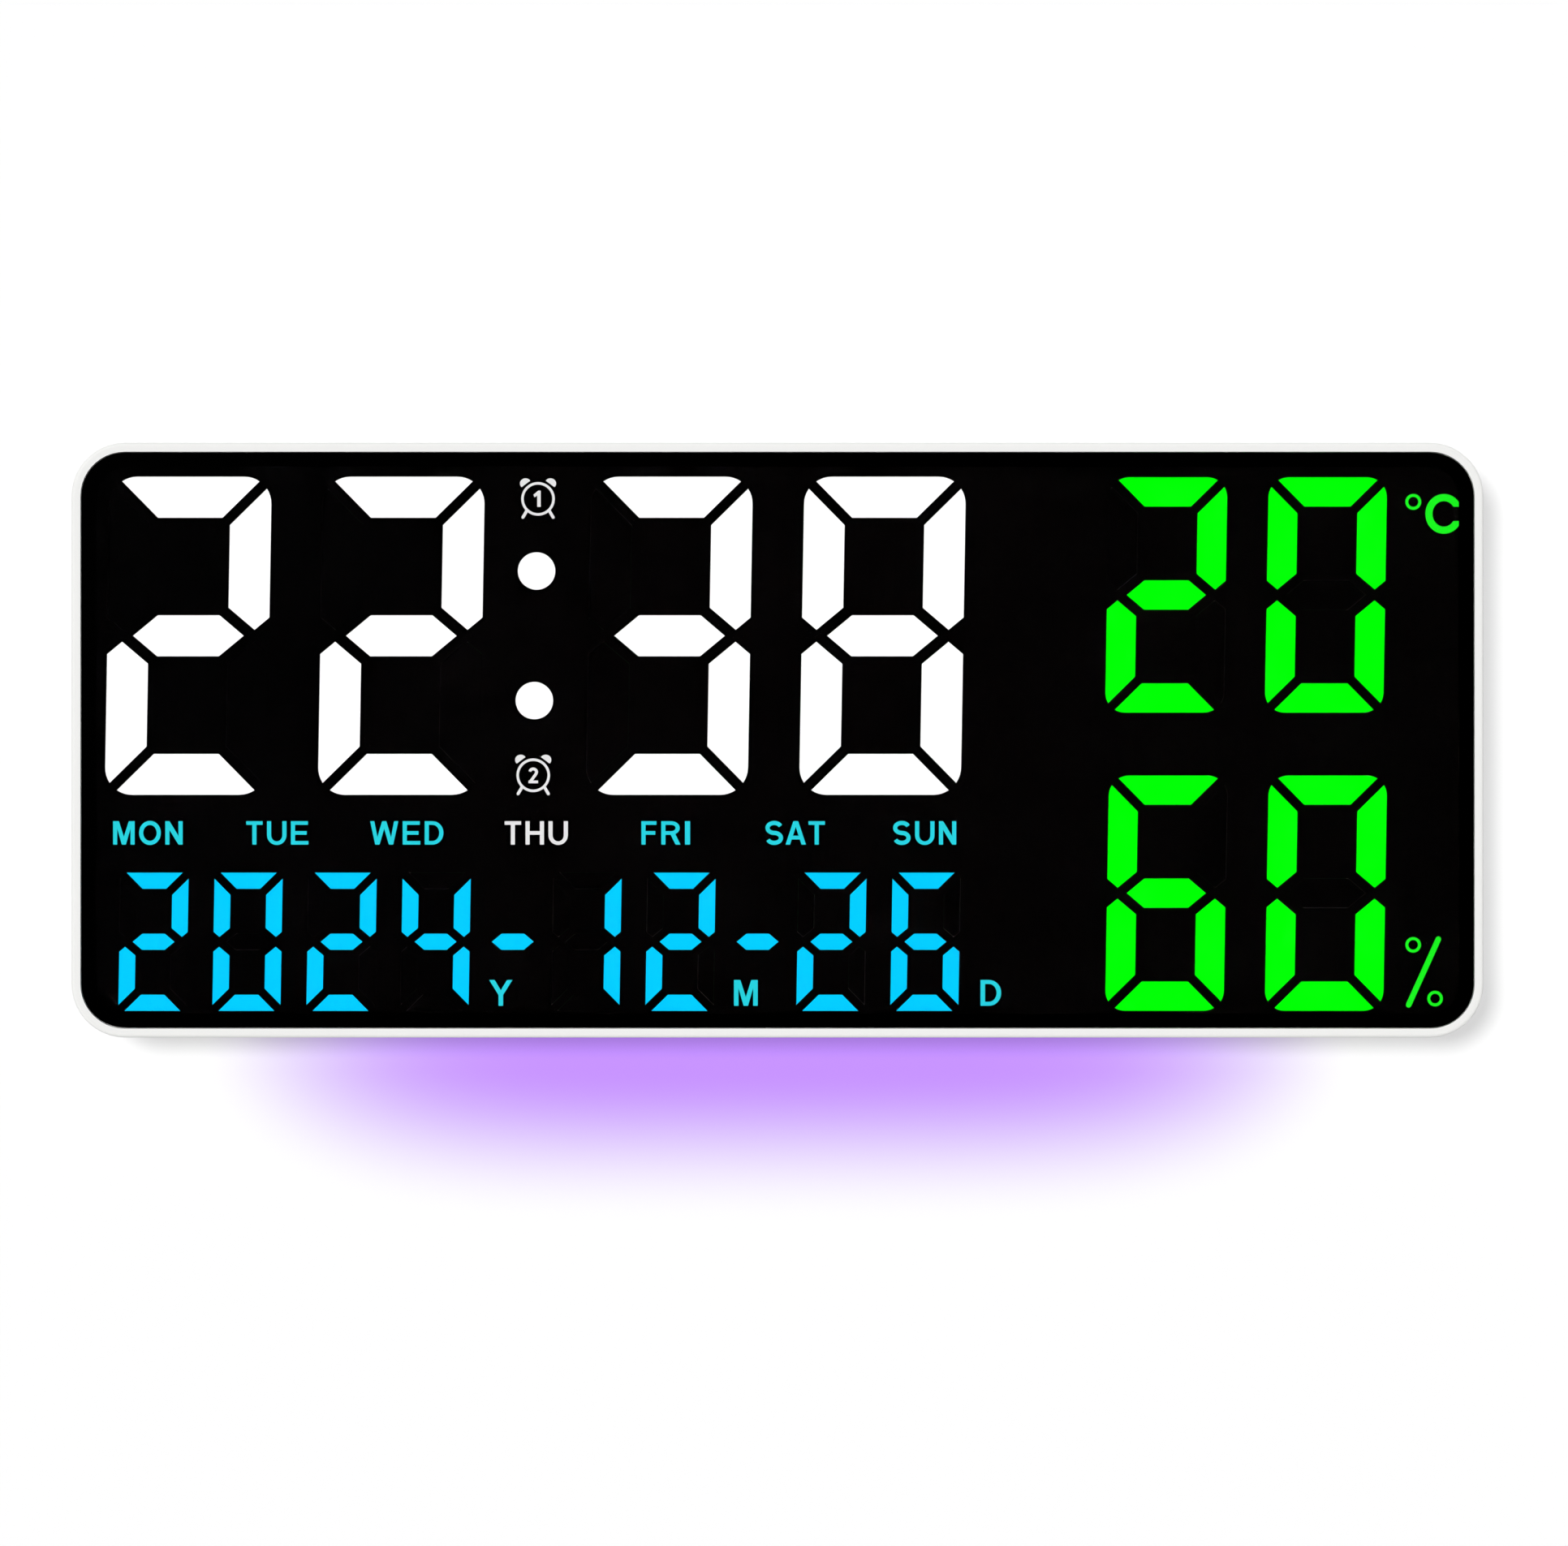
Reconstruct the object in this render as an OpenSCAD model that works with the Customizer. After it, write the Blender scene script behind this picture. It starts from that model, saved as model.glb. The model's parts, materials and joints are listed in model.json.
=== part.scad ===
// Digital wall clock: time, weekday, date, temperature and humidity, with a night light underneath.
// Pieces are drawn with the clock lying on its back: X to the right, Y up its face, Z off the wall.
// hang() stands them up, so that Z is up, the front looks along -Y and the wall is at Y = 0.

/* [Case] */
// Width of the front frame
case_w = 235; // [205:1:275]
// Height of the front frame
case_h = 99; // [88:1:120]
// Depth from the wall to the front edge
case_depth = 28; // [25:0.5:34]
// Corner radius of the front frame
corner_r = 8.9; // [8:0.1:11]
// Wall thickness of the frame and the rear cover
wall = 2; // [1.8:0.1:2.2]
// Depth of the rear cover's side wall
cover_depth = 11; // [10.4:0.1:11.6]
// Rounding of the frame's front edge
rim_edge_r = 0.6; // [0.2:0.1:0.8]
// Step from the frame in to the rear cover
cover_inset = 1.5; // [1.2:0.1:1.7]
// Rounding of the rear cover's back edge
cover_edge_r = 3; // [2:0.2:3.4]
// Height of the rear cover's tongue inside the frame
lap_h = 3; // [2:0.2:4]
// Gap between the tongue and the frame
lap_fit = 0.15; // [0.1:0.05:0.3]

/* [Panel] */
// Rim that shows around the panel
rim_w = 1.5; // [1.3:0.1:1.7]
// Thickness of the acrylic panel
panel_t = 2; // [1.5:0.1:2.5]
// Depth of the panel below the rim
panel_recess = 0.3; // [0:0.1:0.6]
// Gap between the panel's edge and the rim
panel_fit = 0.15; // [0.1:0.05:0.2]
// Width of the ledge that the panel is taped to
seat_w = 2; // [1.6:0.1:2]
// Thickness of that ledge
seat_t = 1.5; // [1.2:0.1:2]
// Thickness of the adhesive tape
tape_t = 0.2; // [0.1:0.05:0.3]
// Thickness of the printed mask film
film_t = 0.3; // [0.2:0.05:0.4]
// Reach of the tape over the film's edge
tape_over = 0.2; // [0.1:0.05:0.25]

/* [Display] */
// Gap from the display to the left and right edges of the face
art_side = 0.3; // [0.2:0.1:4]
// Gap from the display to the top and bottom edges of the face
art_end = 0.55; // [0.2:0.05:4]
// Gap around the reflector
reflector_fit = 0.3; // [0.2:0.05:0.4]
// Thickness of a segment's diffuser
diffuser_t = 1.5; // [1:0.1:2.5]
// Gap around a diffuser
diffuser_fit = 0.05; // [0.04:0.01:0.1]
// Lean of the figures, sideways per unit of height
fig_lean = 0.017; // [0:0.001:0.03]
// Height of the time figures
time_h = 53.1; // [46:0.1:54]
// Width of the time figures
time_w = 27; // [22:0.1:28]
// Width of their segments
time_stroke = 6.9; // [5:0.1:7.2]
// Gap between their segments
time_gap = 1.68; // [1:0.02:2]
// Corner rounding of the time figures
time_corner = 4.6; // [0.5:0.1:6]
// Centre of the first time figure, across
time_x = -98.2; // [-99:0.1:-97]
// Centre of the time figures, up
time_y = 17.4; // [16:0.1:18]
// Step from one time figure to the next
time_pitch = 35.5; // [34:0.1:36]
// Extra step for the colon
colon_room = 9.2; // [8:0.1:10]
// Diameter of a colon dot
colon_d = 6.3; // [4:0.1:7]
// Step between the colon dots
colon_step = 21.6; // [16:0.1:26]
// Step between the alarm signs
icon_step = 46; // [42:0.1:46.4]
// Width of an alarm sign's light well
icon_w = 7; // [6:0.1:8]
// Height of an alarm sign's light well
icon_h = 7.6; // [6.6:0.1:8]
// Height of the temperature and humidity figures
climate_h = 39.3; // [34:0.1:40]
// Width of those figures
climate_w = 19.8; // [16:0.1:20.4]
// Width of their segments
climate_stroke = 4.95; // [3.6:0.05:5.4]
// Gap between their segments
climate_gap = 1.52; // [0.9:0.02:1.8]
// Corner rounding of those figures
climate_corner = 3.4; // [0.5:0.1:4.5]
// Centre of their first figure, across
climate_x = 64.8; // [62:0.1:66]
// Step to their second figure
climate_pitch = 26.6; // [25:0.1:27.4]
// Centre of the temperature, up
temperature_y = 24.2; // [23:0.1:25]
// Centre of the humidity, down
humidity_y = -25.5; // [-25.6:0.1:-24]
// Centre of the degree sign, across
degree_x = 108.8; // [108:0.1:109]
// Height of the degree sign above the temperature's centre
degree_rise = 13.4; // [9:0.1:14]
// Width of the degree sign's light well
degree_w = 9.2; // [8:0.1:9.4]
// Height of the degree sign's light well
degree_h = 7.4; // [6:0.1:8]
// Centre of the per cent sign, across
percent_x = 107.7; // [107:0.1:108.4]
// Drop of the per cent sign below the humidity's centre
percent_drop = 13.2; // [9:0.1:13.4]
// Width of the per cent sign's light well
percent_w = 7.2; // [6:0.1:7.6]
// Height of the per cent sign's light well
percent_h = 12; // [9:0.1:12.2]
// Height of the date figures
date_h = 23.1; // [18:0.1:23.6]
// Width of the date figures
date_w = 11.4; // [9:0.1:12]
// Width of their segments
date_stroke = 2.75; // [2.2:0.05:3.2]
// Gap between their segments
date_gap = 1.38; // [0.8:0.02:1.6]
// Corner rounding of the date figures
date_corner = 0.9; // [0.2:0.1:2]
// Centre of the first date figure, across
date_x = -104; // [-105:0.1:-103]
// Centre of the date, down
date_y = -33.6; // [-33.8:0.1:-32.6]
// Step from one date figure to the next
date_pitch = 15.67; // [14.5:0.01:16]
// Step from a figure to the dash after it
dash_before = 12.85; // [11.5:0.05:13.2]
// Step from a dash to the figure after it
dash_after = 12.3; // [11.5:0.05:12.6]
// Step from a figure to the letter after it
letter_step = 10.9; // [10:0.05:11.2]
// Drop of the letters below the date's centre
letter_drop = 8.5; // [6:0.1:8.8]
// Side of a letter's light well
letter_well = 4.2; // [3.6:0.1:4.4]
// Centre of the first weekday, across
week_x = -104.9; // [-106:0.1:-104]
// Centre of the weekdays, down
week_y = -15.5; // [-16.5:0.1:-14.5]
// Step from one weekday to the next
week_pitch = 21.57; // [20:0.01:22]
// Width of a weekday's light well
week_w = 13; // [11:0.1:13.4]
// Height of a weekday's light well
week_h = 5; // [4.4:0.1:6]

/* [Boards] */
// Thickness of the circuit boards
board_t = 1.6; // [1:0.1:1.8]
// Gap from the main board to the frame
board_fit = 1.5; // [1:0.1:2]
// Length of a display LED
led_l = 2; // [1.2:0.1:2.2]
// Width of a display LED
led_w = 1.25; // [0.8:0.05:1.4]
// Height of a display LED
led_t = 0.8; // [0.5:0.1:1.2]
// Controller chip, across
controller_x = 14; // [8:0.5:18]
// Controller chip, up
controller_y = 8; // [5:0.5:14]
// Side of the controller chip
chip_w = 10; // [7:0.5:12]
// Legs along one side of the controller chip
chip_legs = 11; // [5:1:12]
// Step between those legs
chip_pitch = 0.8; // [0.5:0.05:1]
// First driver chip, across
driver_1_x = 16; // [14:0.5:24]
// First driver chip, down
driver_1_y = -12; // [-20:0.5:-8]
// Second driver chip, across
driver_2_x = 74; // [68:0.5:78]
// Second driver chip, up
driver_2_y = 6; // [0:0.5:14]
// Length of a driver chip
driver_l = 18; // [12:0.5:20]
// Width of a driver chip
driver_w = 7.5; // [5:0.5:8]
// Legs along one side of a driver chip
driver_legs = 14; // [8:1:14]
// Step between those legs
driver_pitch = 1.27; // [0.8:0.01:1.27]
// Height of the chips
chip_t = 1.6; // [1:0.1:2.4]
// Crystal can, across
crystal_x = 32; // [30:0.5:36]
// Crystal can, up
crystal_y = 14; // [8:0.5:20]
// Length of the crystal can
crystal_l = 11; // [8:0.5:12]
// Width of the crystal can
crystal_w = 4.6; // [3:0.1:5]
// Height of the crystal can
crystal_t = 3.5; // [2.5:0.1:4]
// First capacitor, across
cap_x = 64; // [58:0.5:68]
// Capacitors, down
cap_y = -20; // [-24:0.5:-12]
// Step between the capacitors
cap_step = 10; // [8:0.5:12]
// Diameter of a capacitor
cap_d = 6.3; // [4:0.1:7]
// Height of a capacitor
cap_h = 7.7; // [5:0.1:9]
// Pitch of the board headers
header_pitch = 2.54; // [2:0.02:2.54]
// Thickness of a header pin
header_pin = 0.64; // [0.5:0.02:0.7]

/* [Screws] */
// Outer screws, off the middle
screw_x = 94; // [93:0.1:94.6]
// Upper outer screws, up
screw_high = 32; // [29.5:0.1:35]
// Lower outer screws, down
screw_low = -16; // [-18:0.1:-15]
// Inner screws, off the middle
screw_mid_x = 46; // [44:0.1:48]
// Inner screws, up and down
screw_mid_y = 29.5; // [28:0.1:31]
// Thread radius of a case screw
screw_r = 1.15; // [1:0.05:1.25]
// Thread length of a case screw
screw_l = 11; // [9:0.5:11.5]
// Head radius of a case screw
screw_head_r = 2.4; // [2:0.1:2.5]
// Head height of a case screw
screw_head_h = 1.8; // [1.4:0.1:2.2]
// Floor under a case screw's head
screw_floor = 4.5; // [4:0.5:5]
// Outer radius of a screw tube
tube_r = 3.8; // [3.7:0.1:4.2]
// Thread radius of a board screw
tiny_r = 0.9; // [0.7:0.05:1]
// Thread length of a board screw
tiny_l = 5; // [4:0.2:5.6]
// Head radius of a board screw
tiny_head_r = 1.8; // [1.5:0.1:2]
// Head height of a board screw
tiny_head_h = 1.3; // [0.9:0.1:1.5]
// Gap around a screw
screw_fit = 0.06; // [0.05:0.01:0.1]

/* [Buttons] */
// Number of buttons on the top edge
key_n = 5; // [5]
// Step between buttons
key_pitch = 14; // [13.6:0.1:14.4]
// Length of a button
key_l = 10.5; // [8:0.1:10.8]
// Width of a button
key_w = 4.4; // [3.6:0.1:4.6]
// Centre of the buttons off the wall
key_z = 6; // [5.8:0.1:6.2]
// Height of a button above the rear cover
key_proud = 1; // [0.6:0.1:1.1]
// Gap around a button
key_fit = 0.3; // [0.25:0.05:0.35]
// Travel of a button
key_travel = 0.5; // [0.3:0.1:0.6]
// Overhang of the flange that keeps a button in
key_lip = 0.8; // [0.6:0.1:0.9]
// Thickness of that flange
key_flange_t = 1.2; // [0.8:0.1:1.4]
// Radius of a button's pusher
pusher_r = 1.4; // [1:0.1:1.6]
// Depth of the switch board below the top wall
key_drop = 8.2; // [8:0.1:9]
// Side of a switch
switch_w = 6; // [5:0.1:6.2]
// Height of a switch
switch_h = 3.5; // [3:0.1:3.6]
// Radius of a switch's plunger
plunger_r = 1.7; // [1.2:0.1:1.9]
// Height of a plunger above its switch
plunger_proud = 1.5; // [1.2:0.1:1.6]
// Width of the switch board
key_board_w = 7.6; // [7:0.1:7.8]
// Gap between the end switch and the blocks that carry the switch board
block_gap = 0.5; // [0.4:0.1:2]
// Side of those blocks
block_w = 6; // [5.5:0.1:6.4]
// Height of those blocks
block_h = 6; // [5.8:0.1:7]

/* [Night light] */
// Length of the light bar
bar_l = 148; // [130:1:160]
// Width of the light bar
bar_w = 5.6; // [4.6:0.1:5.8]
// Centre of the light bar off the wall
bar_z = 6.4; // [6.2:0.1:6.6]
// Gap around the light bar
bar_fit = 0.1; // [0.05:0.05:0.15]
// Overhang of the bar's inner flange
bar_lip = 1; // [0.8:0.1:1.1]
// Thickness of that flange
bar_flange_t = 1.2; // [0.8:0.1:1.6]
// Depth of the LED strip above the bottom wall
bar_drop = 8; // [6:0.1:8.6]
// Width of the LED strip
strip_w = 6.6; // [6:0.1:7]
// Thickness of the LED strip
strip_t = 1; // [0.8:0.1:1.2]
// Reach of the light bar past each end of the strip
strip_short = 2; // [1:0.5:6]
// Middle of the strip's header, in from the end of the strip
strip_header_in = 16; // [14:0.5:18]
// Number of colour LEDs
glow_n = 9; // [7:2:11]
// Side of a colour LED
glow_w = 5; // [3.5:0.1:5.2]
// Height of a colour LED
glow_t = 1.6; // [1.2:0.1:1.8]
// Thickness of the shelf above the strip
shelf_t = 1.5; // [1.2:0.1:2]

/* [Backup cells] */
// Middle of the cell bay, across
bay_x = -38; // [-38.6:0.1:-37.4]
// Middle of the cell bay, up
bay_y = -1; // [-1.6:0.1:-0.4]
// Radius of an AAA cell
cell_r = 5.25; // [5:0.05:5.3]
// Length of an AAA cell with its nub
cell_l = 44.5; // [43.5:0.1:44.6]
// Radius of a cell's nub
nub_r = 1.9; // [1.5:0.1:2.2]
// Length of a cell's nub
nub_l = 1; // [0.8:0.1:1.2]
// Gap around a cell
cell_fit = 0.4; // [0.3:0.05:0.45]
// Room between a cell and the door
cell_lift = 0.3; // [0.2:0.05:0.5]
// Wall of the bay
bay_wall = 1.3; // [1.1:0.1:1.4]
// Gap between the bay and the main board
bay_gap = 1.1; // [0.6:0.1:1.6]
// Thickness of the contact strips
leaf_t = 0.4; // [0.3:0.05:0.5]
// Reach of a spring contact
leaf_reach = 3.2; // [2.8:0.1:3.4]
// Width of a contact
leaf_w = 6; // [5:0.1:7]
// Width of a contact's tail
tail_w = 3; // [2:0.1:3.4]
// Thickness of the bay's door
door_t = 1.7; // [1.5:0.1:1.8]
// Overlap of the door on the bay's walls
door_lip = 1; // [0.8:0.1:1.1]
// Gap around the door
door_fit = 0.3; // [0.25:0.05:0.35]
// Corner radius of the door
door_r = 1.5; // [1:0.1:2]
// Width of a hinge tab
tab_w = 5; // [4:0.1:5.6]
// Length of a hinge tab
tab_l = 1.6; // [1.3:0.1:1.7]
// Thickness of a hinge tab
tab_t = 0.7; // [0.6:0.05:0.8]
// Step between the hinge tabs
tab_step = 13; // [11:0.1:14]
// Width of the latch
latch_w = 10; // [8:0.1:11]
// Reach of the latch
latch_l = 1; // [0.8:0.1:1.2]
// Depth of the thumb grip
grip_depth = 0.7; // [0.4:0.1:0.8]

/* [Feet] */
// Pivot of a foot, in from the side of the case
foot_inset = 13; // [12.6:0.1:13.4]
// Pivot of a foot off the wall
foot_z = 3.1; // [3.1:0.05:3.3]
// Gap between the light bar and a foot's housing
foot_gap = 2.3; // [1:0.1:8]
// Thickness of a foot
foot_t = 5; // [4:0.1:5.2]
// Height of a foot's recess
foot_h = 7.5; // [7:0.1:9]
// Radius of a foot's knuckle
knuckle_r = 2.9; // [2.7:0.05:2.9]
// Gap around a foot
foot_fit = 0.6; // [0.5:0.05:0.8]
// Thickness of the lug below the knuckle
lug_t = 1.6; // [1.4:0.1:2]
// Radius of a pivot pin
pin_r = 1.25; // [1:0.05:1.3]
// Gap around a pivot pin
pin_fit = 0.06; // [0.05:0.01:0.1]
// Hold of a pin above the recess
pin_hold = 3; // [2:0.1:4]
// Length of a rubber pad
pad_l = 8; // [6:0.1:10]
// Width of a rubber pad
pad_w = 3.4; // [2.6:0.1:3.6]
// Thickness of a rubber pad
pad_t = 1; // [0.8:0.1:1.4]
// Height of a pad that stands out
pad_proud = 0.4; // [0.3:0.1:0.6]

/* [Wall keyholes] */
// Keyholes, off the middle
keyhole_x = 70; // [69.5:0.1:71]
// Screw entry of a keyhole, up
keyhole_y = 20; // [18:0.1:24]
// Radius of the screw entry
keyhole_r = 4.5; // [4:0.1:4.8]
// Radius of the slot for the shank
keyhole_slot_r = 2.3; // [2:0.1:2.5]
// Rise of the slot
keyhole_rise = 7; // [6:0.1:8]

/* [Socket, sensor and buzzer] */
// USB-C socket, in from the side of the case
usb_inset = 22.5; // [20:0.1:28]
// Width of the socket's shell
usb_w = 8.94; // [8.94]
// Height of the socket's shell
usb_h = 3.2; // [3.2]
// Length of the socket's shell
usb_l = 7.35; // [7:0.05:7.6]
// Sheet of the socket's shell
usb_sheet = 0.3; // [0.25:0.05:0.35]
// Depth of the socket's mouth in the frame
usb_sink = 1; // [0.6:0.1:1.2]
// Width of the socket's tongue
usb_tongue_w = 6.7; // [6.7]
// Thickness of the socket's tongue
usb_tongue_t = 0.7; // [0.7]
// Gap between the shell and its window
usb_fit = 0.3; // [0.25:0.05:0.35]
// Climate sensor, in from the side of the case
sensor_inset = 12.5; // [11.5:0.1:13]
// Climate sensor, up
sensor_y = 4; // [2:0.1:8]
// Width of the sensor
sensor_w = 12; // [10:0.1:12.6]
// Length of the sensor
sensor_l = 15.5; // [13:0.1:16]
// Height of the sensor
sensor_t = 5.5; // [4:0.1:6]
// Number of vent slots
vent_n = 5; // [3:2:7]
// Step between vent slots
vent_pitch = 3.4; // [3:0.1:3.6]
// Width of a vent slot
vent_w = 1.6; // [1.2:0.1:1.8]
// Length of a vent slot
vent_l = 12; // [8:0.1:13]
// Buzzer, in from the side of the case
buzzer_inset = 31.5; // [24:0.1:36]
// Buzzer, up
buzzer_y = 8; // [4:0.1:10]
// Radius of the buzzer
buzzer_r = 6; // [4.5:0.1:6.4]
// Height of the buzzer
buzzer_h = 8.5; // [6:0.1:9.5]
// Radius of a sound hole
sound_r = 0.8; // [0.6:0.05:1]
// Step between sound holes
sound_step = 3.2; // [2.8:0.1:3.6]

/* [Hidden] */
$fn = 64;
through = 1;
white = [0.92, 0.92, 0.91];
black = [0.03, 0.03, 0.03];
smoke = [0.05, 0.05, 0.06, 0.4];
milk = [0.95, 0.95, 0.95];
cyan = [0.0, 0.8, 1.0];
green = [0.0, 1.0, 0.05];
violet = [0.72, 0.5, 1.0];
board_green = [0.05, 0.3, 0.16];
steel = [0.7, 0.7, 0.72];
amber = [0.95, 0.85, 0.5];
blue = [0.2, 0.5, 0.85];
grey = [0.25, 0.25, 0.26];

// Levels off the wall: the panel and the film from the front, the board from the cell bay
panel_front = case_depth - panel_recess;
panel_back = panel_front - panel_t;
seat_front = panel_back - tape_t;
seat_back = seat_front - seat_t;
film_front = seat_front;
film_back = film_front - film_t;
cell_z = door_t + cell_lift + cell_fit + cell_r;
bay_floor = cell_z + cell_r + cell_fit;
board_back = bay_floor + bay_wall + bay_gap;
reflector_back = board_back + board_t;
frame_back = cover_depth;

// Outlines
seat_in = rim_w + seat_w;
face_in = seat_in + reflector_fit;
flange_in = wall + reflector_fit;
board_in = wall + board_fit;
cover_w = case_w - 2 * cover_inset;
cover_h = case_h - 2 * cover_inset;
cover_r = corner_r - cover_inset;
cover_top = cover_h / 2;
fold = cover_edge_r + wall;
lap_in = wall - cover_inset + lap_fit;

// The display follows the face: its places across and up, and its sizes by the lesser of the two
reach_x = max(degree_x + degree_w / 2, percent_x + percent_w / 2, time_w / 2 - time_x,
    week_w / 2 - week_x, date_w / 2 - date_x);
reach_y = max(time_y + time_h / 2, temperature_y + climate_h / 2, climate_h / 2 - humidity_y,
    date_h / 2 - date_y);
art_x = (case_w / 2 - face_in) / (reach_x + art_side);
art_y = (case_h / 2 - face_in) / (reach_y + art_end);
art = min(art_x, art_y);

// Seven-segment figures, each as width, height, segment, corner and gap
time_fig = art * [time_w, time_h, time_stroke, time_corner, time_gap];
climate_fig = art * [climate_w, climate_h, climate_stroke, climate_corner, climate_gap];
date_fig = art * [date_w, date_h, date_stroke, date_corner, date_gap];

// Middle joints: slope, the tips' place and the middle segment's pull in segments, the gap in gaps
fig_joint = 40;
fig_node = 0.36;
fig_pull = 0.09;
fig_cross = 0.87;
arc_steps = 4;
strokes = "abcdefg";
flat_strokes = "adg";
shapes = ["abcdef", "bc", "abdeg", "abcdg", "bcfg", "acdfg", "acdefg", "abc", "abcdefg", "abcdfg"];

// The reading: 22:38, 2024-12-26, 20 degrees and 60 per cent
time_read = [2, 2, 3, 8];
year_read = [2, 0, 2, 4];
month_read = [1, 2];
day_read = [2, 6];
temperature_read = [2, 0];
humidity_read = [6, 0];

dash_1_x = date_x + 3 * date_pitch + dash_before;
month_x = dash_1_x + dash_after;
dash_2_x = month_x + date_pitch + dash_before;
day_x = dash_2_x + dash_after;

function row(read, x, y, pitch, fig) = [for (i = [0 : len(read) - 1])
    [read[i], (x + i * pitch) * art_x, y * art_y, fig]];
minutes_x = time_x + 2 * time_pitch + colon_room;
hours = row([time_read[0], time_read[1]], time_x, time_y, time_pitch, time_fig);
minutes = row([time_read[2], time_read[3]], minutes_x, time_y, time_pitch, time_fig);
clock_figs = concat(hours, minutes);
date_figs = concat(row(year_read, date_x, date_y, date_pitch, date_fig),
    row(month_read, month_x, date_y, date_pitch, date_fig),
    row(day_read, day_x, date_y, date_pitch, date_fig));
temperature_figs = row(temperature_read, climate_x, temperature_y, climate_pitch, climate_fig);
humidity_figs = row(humidity_read, climate_x, humidity_y, climate_pitch, climate_fig);
all_figs = concat(clock_figs, date_figs, temperature_figs, humidity_figs);
dashes = [for (x = [dash_1_x, dash_2_x]) [x * art_x, date_y * art_y]];
colon_x = (hours[1][1] + minutes[0][1]) / 2;
function on_colon(step) = [for (s = [-1, 1])
    [colon_x + s * fig_lean * art * step / 2, time_y * art_y + s * art * step / 2]];
colon_dots = on_colon(colon_step);

// Light wells behind the printed words and signs: middle and size
weekdays = 7;
wells = concat(
    [for (i = [0 : weekdays - 1])
        [(week_x + i * week_pitch) * art_x, week_y * art_y, art * week_w, art * week_h]],
    [for (p = on_colon(icon_step)) [p.x, p.y, art * icon_w, art * icon_h]],
    [for (x = [date_x + 3 * date_pitch, month_x + date_pitch, day_x + date_pitch])
        [(x + letter_step) * art_x, date_y * art_y - art * letter_drop,
            art * letter_well, art * letter_well]],
    [[degree_x * art_x, temperature_y * art_y + art * degree_rise, art * degree_w, art * degree_h],
        [percent_x * art_x, humidity_y * art_y - art * percent_drop, art * percent_w, art * percent_h]]);

// Screws, where the display is dark
case_screws_at = [for (x = [-screw_x, screw_x], y = [screw_high, screw_low]) [x * art_x, y * art_y],
    for (s = [-1, 1]) [screw_mid_x * art_x, s * screw_mid_y * art_y]];
board_screws_at = [[hours[1][1], hours[1][2] + time_fig[1] / 4],
    [minutes[0][1], minutes[0][2] + time_fig[1] / 4], [screw_mid_x * art_x, 0],
    [month_x * art_x, date_y * art_y - date_fig[1] / 4],
    [humidity_figs[1][1], humidity_figs[1][2] - climate_fig[1] / 4],
    [degree_x * art_x, humidity_y * art_y]];
head_seat = board_back - screw_floor;
head_fit = 0.4;
pan_round = 0.6;

// Buttons and their switches
key_wall_in = cover_top - wall;
key_rest_gap = 0.1;
flange_top = key_wall_in - key_rest_gap;
flange_low = flange_top - key_flange_t;
key_board_top = key_wall_in - key_drop;
plunger_top = key_board_top + switch_h + plunger_proud;
plunger_root = 0.7;
plunger_fit = 0.1;
block_x = (key_n - 1) * key_pitch / 2 + switch_w / 2 + block_w / 2 + block_gap;
key_board_l = 2 * block_x + block_w;
header_block = 2.5;
header_reach = 4;
key_header_n = 6;

// Night light
bar_wall_in = wall - cover_top;
strip_low = bar_wall_in + bar_drop;
strip_top = strip_low + strip_t;
strip_l = bar_l - 2 * strip_short;
glow_pitch = strip_l / glow_n;
bar_header_n = 4;
bar_header_x = strip_l / 2 - strip_header_in;
shelf_l = 2 * bar_header_x - 2 * header_pitch * bar_header_n;

// Backup cells
cell_y = cell_r + cell_fit / 2;
bay_h = 4 * cell_r + 3 * cell_fit;
dimple_h = 0.9;
dimple_r = 2.2;
touch_gap = 0.05;
bay_l = cell_l + 2 * leaf_t + leaf_reach + dimple_h + 2 * touch_gap;
bay_left = bay_x - bay_l / 2;
bay_right = bay_x + bay_l / 2;
door_l = bay_l + 2 * door_lip;
door_h = bay_h + 2 * door_lip;
door_left = bay_left - door_lip;
collar = door_fit + tab_l + bay_wall;
bow_chord = 7.6;
bow_r = (pow(bow_chord / 2, 2) + pow(leaf_reach, 2)) / (2 * leaf_reach);
tail_slot = 0.4;

// Feet, between the light bar and the side of the case
recess_wall = 1.5;
foot_x = case_w / 2 - foot_inset;
foot_low = pad_proud - case_h / 2;
recess_top = foot_h - cover_top;
recess_depth = foot_z + foot_t / 2 + foot_fit;
recess_tip = bar_l / 2 + bar_lip + foot_gap + recess_wall;
recess_end = foot_x + knuckle_r + 2 * foot_fit;
foot_l = foot_x - recess_tip - 2 * foot_fit;
knuckle_play = 0.2;
knuckle_low = lug_t + knuckle_play - cover_top;
knuckle_top = recess_top - knuckle_play;

// Socket, sensor and buzzer
usb_x = case_w / 2 - usb_inset;
sensor_x = case_w / 2 - sensor_inset;
buzzer_x = buzzer_inset - case_w / 2;

module hang() rotate([90, 0, 0]) children();

// An outline in X and Y, from one level off the wall to another
module slab(from, to) translate([0, 0, from]) linear_extrude(to - from) children();

// An outline in X and Z, from one height up the face to another
module upright(from, to) translate([0, to, 0]) rotate([90, 0, 0]) linear_extrude(to - from) children();

module rounded(w, h, r) {
    square([w - 2 * r, h], center = true);
    for (s = [-1, 1]) translate([s * (w - r) / 2, 0]) square([r, h - 2 * r], center = true);
    for (x = [-1, 1], y = [-1, 1]) translate([x * (w / 2 - r), y * (h / 2 - r)]) intersection() {
        circle(r);
        translate([x * r / 2, y * r / 2]) square(r, center = true);
    }
}

module case_outline(inset) rounded(case_w - 2 * inset, case_h - 2 * inset, corner_r - inset);

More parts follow.
